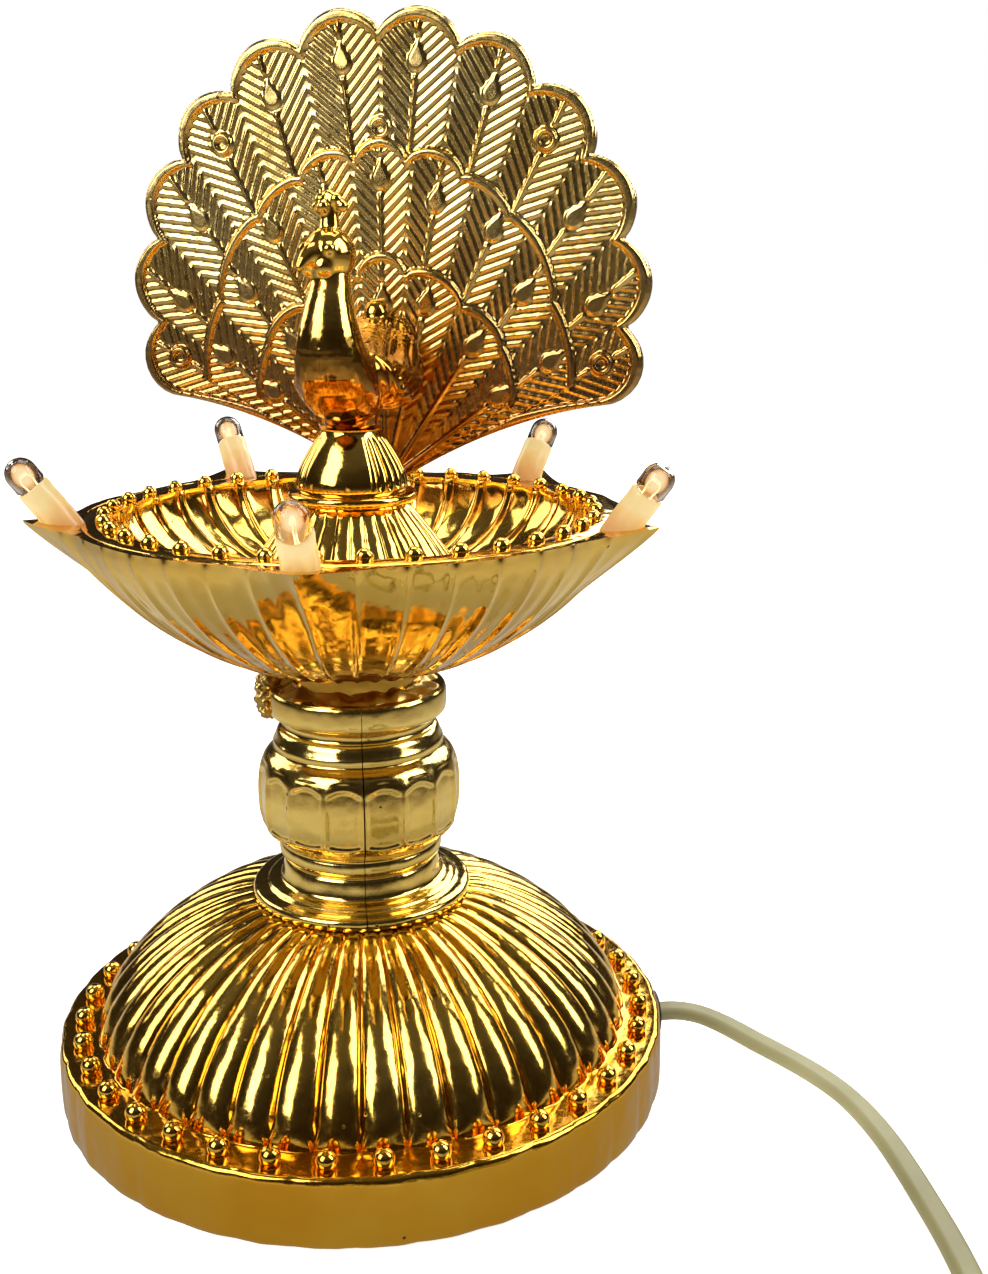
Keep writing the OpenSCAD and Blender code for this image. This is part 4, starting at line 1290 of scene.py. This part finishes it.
def back_relief(u, v, to_edge):
    """The plainer back: one raised rim, a shaft for each outer feather and faint barbs."""
    here = Vector((u, v))
    angle, radius = bearing(here, ROOT), here.length
    height = 0.5 * feather(OUTER, angle, radius)
    rim = 0.7 * ridge(to_edge - 1.1, 1.1)
    return max(height * smooth_step((to_edge - 1.9) / 0.6), rim)


def make_tail_plate(name, node, cell, relief, thickness, place_y, turn=0.0):
    """One of the tail's two mouldings, with its relief towards -Y before it is turned."""
    bm, edge = fan_grid(cell)
    for vertex in bm.verts:
        vertex.co.y = -relief(vertex.co.x, vertex.co.z, vertex[edge])
    close_plate(bm, thickness)
    bmesh.ops.scale(bm, vec=(FAN_WIDTH, 1, 1), verts=bm.verts)
    bmesh.ops.rotate(bm, cent=(0, 0, 0), matrix=Matrix.Rotation(turn, 3, "Z"), verts=bm.verts)
    bmesh.ops.translate(bm, vec=(0, place_y, tail_root_z), verts=bm.verts)
    return to_piece(bm, name, tail_gilt, (node,), sharp=65)


front_cell, back_cell = ((0.305, 0.5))
make_tail_plate("feather_fan", "tail_front", front_cell, fan_relief, 1.6, tail_y)
make_tail_plate("fan_backing", "tail_back", back_cell, back_relief, 1.15, tail_y + 2.8, math.pi)

# %% [markdown]
# ## The peacock
# The bird is modelled like clay: balls strung along its body, neck and head are pressed into
# one skin by a voxel remesh, then smoothed. The wings are laid on with a sharp front edge and
# sloping quill ridges. The skin is then cut in two along the middle, because the real bird is
# two half mouldings, and each half closes on its cut.

# %% Bird clay
HEAD_TURN = -25.0
# Each knot: its place and its radius, from the tail round the breast and up the neck
BREAST = [(0, 20.8, 150.5, 3.6), (0, 15, 147.5, 5.4), (0, 8, 144.0, 6.8), (0, 1, 142.4, 7.7),
          (0, -6, 143.2, 7.7), (0, -9.8, 146.0, 7.0), (0, -11.2, 150.5, 5.9),
          (0, -10.9, 155.0, 4.8), (0, -9.9, 159.0, 3.9), (0, -9.2, 161.6, 3.5)]
HEAD_AT = Vector((-0.3, -8.6, 165.6))
HEAD_R = 4.9
# Each knob: place from the head's centre, beak towards -Y, and radius
FACE_KNOBS = [(-2.9, -3.3, 1.0, 1.25), (2.9, -3.3, 1.0, 1.25), (-1.7, -3.4, -2.0, 1.9),
              (1.7, -3.4, -2.0, 1.9), (0, -2.2, -3.2, 2.2)]
CREST_KNOBS = [(-2.9, 0.2, 8.3, 1.1), (-1.5, -0.3, 9.5, 1.2), (0.1, 0.1, 10.0, 1.25),
               (1.6, 0.3, 9.5, 1.2), (2.9, 0.5, 8.3, 1.1), (0, -1.4, 8.2, 1.2), (0, 1.5, 8.1, 1.2)]


def turned_head(x, y, z):
    """A point of the head, given from its centre with the beak towards -Y."""
    return HEAD_AT + Matrix.Rotation(math.radians(HEAD_TURN), 3, "Z") @ Vector((x, y, z))


def string_of_balls(bm, knots, parts):
    """Balls along a smooth line through (x, y, z, radius) knots, with radii smoothed too."""
    places = through([knot[:3] for knot in knots], parts)
    sizes = through([(knot[3], 0, 0) for knot in knots], parts)
    for place, size in zip(places, sizes):
        bmesh.ops.create_icosphere(bm, subdivisions=3, radius=size.x,
                                   matrix=Matrix.Translation(place))


def bird_clay():
    bm = bmesh.new()
    string_of_balls(bm, BREAST, 4)
    add_ball(bm, HEAD_AT, HEAD_R, 32, (0.96, 1.04, 1.0))
    beak = [(*turned_head(0, -4.0 - 0.75 * i, 0.2 - 0.09 * i * i), 2.1 - 0.27 * i)
            for i in range(6)]
    string_of_balls(bm, beak, 2)
    crest = [(*turned_head(0, 0.2, 3.8 + i), 2.0 - 0.12 * i) for i in range(5)]
    string_of_balls(bm, crest, 2)
    for x, y, z, r in FACE_KNOBS + CREST_KNOBS:
        add_ball(bm, turned_head(x, y, z), r, 16)
    bmesh.ops.create_cone(bm, cap_ends=True, segments=40, radius1=4.9, radius2=5.6, depth=6,
                          matrix=Matrix.Translation((0, 0, 137.0)))
    add_ball(bm, (-0.5, 19.6, 154.0), 2.5, 20, (1, 1, 1.2))
    for side in (-1, 1):
        wing = [(side * 4.8, -4.8, 145.0, 3.6), (side * 6.3, 0, 142.8, 4.4),
                (side * 7.0, 6, 141.8, 4.7), (side * 6.6, 12, 143.4, 4.4),
                (side * 4.9, 17.3, 147.2, 3.5), (side * 2.7, 21.2, 150.8, 2.4)]
        string_of_balls(bm, wing, 4)
    return bm


def press_clay(bm, voxel):
    """One smooth skin over overlapping shapes, by a voxel remesh and some smoothing."""
    mesh = mesh_from(bm, "clay")
    block = new_object("clay", mesh)
    press = block.modifiers.new("press", "REMESH")
    press.mode = "VOXEL"
    press.voxel_size = voxel
    rub = block.modifiers.new("rub", "SMOOTH")
    rub.factor = 0.5
    rub.iterations = 5
    skin = bmesh.new()
    skin.from_object(block, bpy.context.evaluated_depsgraph_get())
    bpy.data.objects.remove(block)
    bpy.data.meshes.remove(mesh)
    return skin


WING_ROOT = 2.5
QUILL_PITCH, QUILL_HEIGHT = 2.35, 0.55
GROOVE_DEPTH = 0.5


def mark_wings(bm):
    """Raises sloping quill ridges on the wings and cuts a groove along their front edge."""
    bm.normal_update()
    for vertex in bm.verts:
        x, y, z = vertex.co
        if abs(x) < WING_ROOT or z > 157 or z < 136:
            continue
        # The wing's front edge runs down and back from the shoulder
        front = y + 5.2 - 0.34 * (147 - z) - 0.0006 * (z - 145) ** 2
        on_wing = smooth_step(front / 1.2) * smooth_step((abs(x) - WING_ROOT) / 1.5)
        slope = z - 0.42 * (y - 4)
        quill = abs(math.sin(math.pi * (slope - 139.5) / QUILL_PITCH))
        ridges = QUILL_HEIGHT * (quill ** 0.7 - 0.5) * smooth_step((front - 1.4) / 1.5)
        ridges *= smooth_step((slope - 137.5) / 1.5) * smooth_step((151.5 - slope) / 1.5)
        groove = -GROOVE_DEPTH * math.exp(-(front / 0.6) ** 2) * smooth_step((151 - z) / 2)
        groove *= smooth_step((z - 137.5) / 1.5)
        vertex.co += vertex.normal * (ridges * on_wing + groove)


def cut_flat(bm, place, outwards):
    """Cuts away what lies beyond a plane, and closes the cut."""
    everything = bm.verts[:] + bm.edges[:] + bm.faces[:]
    cut = bmesh.ops.bisect_plane(bm, geom=everything, plane_co=place, plane_no=outwards,
                                 clear_outer=True)["geom_cut"]
    bmesh.ops.holes_fill(bm, edges=[e for e in cut if isinstance(e, bmesh.types.BMEdge)])


BIRD_SEAM, BIRD_FOOT_Z = 0.06, 134.05


def make_bird():
    skin = press_clay(bird_clay(), 0.33)
    mark_wings(skin)
    for name, node, side in (("bird_half_left", "peacock_left", 1),
                             ("bird_half_right", "peacock_right", -1)):
        half = skin.copy()
        cut_flat(half, (-side * BIRD_SEAM / 2, 0, 0), (side, 0, 0))
        cut_flat(half, (0, tail_y - 0.05, 0), (0, 1, 0))
        cut_flat(half, (0, 0, BIRD_FOOT_Z), (0, 0, -1))
        to_piece(half, name, bird_gilt, (node,), sharp=50)
    skin.free()


make_bird()

# %% [markdown]
# ## The bulbs
# Each bulb is a tiny clear glass one, pushed into a milky plastic sleeve. The glass and its
# filament slide out of the sleeve together. The filament glows in a pool of light, which is
# a ball that is clearer at its edge, and the sleeve takes up the light: pale near the glass
# and orange down at the bowl. The glow follows the sleeve as an attribute, because the five
# sleeves lean five ways.

# %% Bulb finishes
def glass_material():
    """Thin clear glass with a faint warm tint."""
    material, _, shader = new_material("bulb_glass")
    shader.inputs["Base Color"].default_value = (0.92, 0.78, 0.66, 1)
    shader.inputs["Roughness"].default_value = 0.03
    shader.inputs["Transmission Weight"].default_value = 1.0
    shader.inputs["IOR"].default_value = 1.35
    return material


def sleeve_material():
    """Milky plastic that passes on the bulb's light, from white at its mouth to orange."""
    material, tree, shader = new_material("milky_sleeve")
    glow = add_node(tree, "ShaderNodeAttribute", attribute_name="glow")
    cloud = noise_on(tree, object_place(tree), 260.0)
    uneven = compute(tree, "MULTIPLY_ADD", cloud, 0.5, glow.outputs["Fac"])
    light = ramp_between(tree, uneven, [
        (0.15, (0.50, 0.16, 0.03)), (0.50, (0.80, 0.38, 0.09)), (0.85, (1.0, 0.66, 0.20)),
        (1.0, (1.0, 0.80, 0.32))])
    tree.links.new(light, shader.inputs["Emission Color"])
    shader.inputs["Emission Strength"].default_value = 0.60
    shader.inputs["Base Color"].default_value = (0.28, 0.19, 0.11, 1)
    shader.inputs["Subsurface Weight"].default_value = 0.4
    shader.inputs["Subsurface Scale"].default_value = 0.002
    shader.inputs["Roughness"].default_value = 0.28
    return material


def hot_wire_material():
    """A glowing wire, in two tones along its length."""
    material, tree, shader = new_material("hot_wire")
    tint = ramp_between(tree, noise_on(tree, object_place(tree), 900.0),
                        [(0.3, (1.0, 0.72, 0.36)), (0.7, (1.0, 0.90, 0.62))])
    tree.links.new(tint, shader.inputs["Emission Color"])
    shader.inputs["Emission Strength"].default_value = 2.2
    shader.inputs["Base Color"].default_value = (0.6, 0.45, 0.3, 1)
    return material


def halo_material():
    """The pool of light round a filament: pale in its middle, amber and clearer at its edge."""
    material, tree, _ = new_material("bulb_halo")
    facing = add_node(tree, "ShaderNodeLayerWeight", Blend=0.5)
    colour = ramp_between(tree, facing.outputs["Facing"], [
        (0.10, (1.0, 0.92, 0.62)), (0.45, (1.0, 0.68, 0.30)), (0.9, (0.75, 0.38, 0.16))])
    glow = add_node(tree, "ShaderNodeEmission", Strength=1.15)
    tree.links.new(colour, glow.inputs["Color"])
    clear = add_node(tree, "ShaderNodeBsdfTransparent")
    edge = remap(tree, facing.outputs["Facing"], (0.2, 1.0), (0.25, 0.85))
    mix = add_node(tree, "ShaderNodeMixShader")
    tree.links.new(edge, mix.inputs["Fac"])
    tree.links.new(glow.outputs["Emission"], mix.inputs[1])
    tree.links.new(clear.outputs["BSDF"], mix.inputs[2])
    tree.links.new(mix.outputs["Shader"], tree.nodes["Material Output"].inputs["Surface"])
    return material


clear_glass = glass_material()
bulb_halo = halo_material()
milky_sleeve = sleeve_material()
hot_wire = hot_wire_material()

# %% Bulbs and sleeves
BULB_LEAN = 35.5
BULB_SEAT_R = 53.4
SLEEVE_R, SLEEVE_BORE = 3.1, 2.45
SLEEVE_LOW, SLEEVE_TOP = -2.5, 8.6
GLASS_R = 2.95
LEAD_R, FILAMENT_R, FILAMENT_Z = 0.16, 0.34, 11.15


def bulb_place(k):
    """Where a bulb stands: its axis meets the rim and leans outwards over its spout."""
    spin = Matrix.Rotation(math.radians(SPOUT_TURN + 360 / SPOUTS * k), 4, "Z")
    seat = Matrix.Translation((BULB_SEAT_R, 0, rim_z))
    return spin @ seat @ Matrix.Rotation(math.radians(BULB_LEAN), 4, "Y")


def make_sleeve(k):
    line = rounded([(SLEEVE_BORE, SLEEVE_LOW + 1), (SLEEVE_R, SLEEVE_LOW), (SLEEVE_R + 0.02, 0),
                    (SLEEVE_R + 0.12, 1.2), (SLEEVE_R - 0.02, 4.5), (SLEEVE_R, SLEEVE_TOP - 0.6),
                    (SLEEVE_R - 0.15, SLEEVE_TOP - 0.05), (SLEEVE_BORE + 0.1, SLEEVE_TOP - 0.1),
                    (SLEEVE_BORE, SLEEVE_TOP - 0.6)], 2)
    bm = turned(split_long(line, 0.6), 48)
    roughen(bm, 0.12, 2.6, lambda point: point.z > 0)
    glow = bm.verts.layers.float.new("glow")
    for vertex in bm.verts:
        vertex[glow] = (vertex.co.z - SLEEVE_LOW) / (SLEEVE_TOP - SLEEVE_LOW)
    bmesh.ops.transform(bm, matrix=bulb_place(k), verts=bm.verts)
    name = f"milky_sleeve_{k + 1}"
    return to_piece(bm, name, milky_sleeve, (f"bulb_holder_{k + 1}",))


def make_glass(k):
    arc = [math.radians(a) for a in range(0, 91, 9)]
    tip = [(GLASS_R * math.cos(a), SLEEVE_TOP + 3.0 + GLASS_R * math.sin(a)) for a in arc]
    line = [(1.7, 1.6), (2.38, 1.6), (2.38, SLEEVE_TOP - 0.2), (2.6, SLEEVE_TOP + 0.05),
            (GLASS_R, SLEEVE_TOP + 0.5)] + tip
    inner = [(max(0.0, r - 0.32), z - (0.32 if r < 1.5 else 0.12)) for r, z in reversed(tip)]
    line += inner + [(2.3, SLEEVE_TOP + 0.9), (2.0, SLEEVE_TOP), (1.9, 3.0)]
    bm = turned(line, 48)
    bmesh.ops.dissolve_degenerate(bm, dist=0.001, edges=bm.edges)
    bmesh.ops.transform(bm, matrix=bulb_place(k), verts=bm.verts)
    return to_piece(bm, f"clear_bulb_{k + 1}", clear_glass,
                    (f"bulb_glass_{k + 1}",), body=f"bulb_{k + 1}")


def make_filament(k):
    bm = bmesh.new()
    plug = turned(rounded([(0, -1.4), (1.75, -1.4), (1.75, 2.6), (1.2, 3.2), (0, 3.2)], 1), 32,
                  closed=False)
    join_into(bm, plug)
    for side in (-1, 1):
        lead = [Vector((side * x, 0.02 * z, z)) for x, z in
                ((0.8, 2.8), (0.8, 5.6), (0.85, 8.2), (1.15, 10.0), (0.75, 11.0))]
        sweep(bm, through(lead, 3), oval(LEAD_R, LEAD_R, 8))
    coil = [Vector((-0.8 + 1.6 * i / 72, FILAMENT_R * math.cos(i * 0.7),
                    FILAMENT_Z + FILAMENT_R * math.sin(i * 0.7))) for i in range(73)]
    sweep(bm, coil, oval(0.4 * LEAD_R, 0.4 * LEAD_R, 8))
    bmesh.ops.transform(bm, matrix=bulb_place(k), verts=bm.verts)
    return to_piece(bm, f"glowing_filament_{k + 1}", hot_wire,
                    (f"bulb_filament_{k + 1}",), body=f"bulb_{k + 1}")


def make_halo(k):
    bm = bmesh.new()
    add_ball(bm, (0, 0, 11.1), 1.95, 24, (1.0, 1.0, 1.2))
    bmesh.ops.transform(bm, matrix=bulb_place(k), verts=bm.verts)
    return to_piece(bm, f"bulb_halo_{k + 1}", bulb_halo, body=f"bulb_{k + 1}")


for k in range(SPOUTS):
    make_sleeve(k)
    make_glass(k)
    make_filament(k)
    make_halo(k)

# %% [markdown]
# ## The pieces left as the CAD model made them
# The cover, the grommet, the screws and the wiring are already their true shape. They keep
# their CAD meshes and only take a finish.

# %% Finishes of the CAD pieces
FINISHES = {
    black_plastic: ("bottom_cover", "cord_grommet", "cord_clamp", "splice_sleeves"),
    zinc_steel: ("cover_screws", "clamp_screws", "stem_screws", "foot_screw", "tail_screw"),
    bare_brass: ("socket_contacts",),
    copper: ("cord_cores",),
    red_pvc: ("feed_wires", "link_wires"),
    cream_flex: ("cord_tail",),
}
for finish, nodes in FINISHES.items():
    for node in nodes:
        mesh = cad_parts[node].data
        mesh.materials.clear()
        mesh.materials.append(finish)
print(f"{sum(map(len, FINISHES.values()))} CAD pieces have their finish")
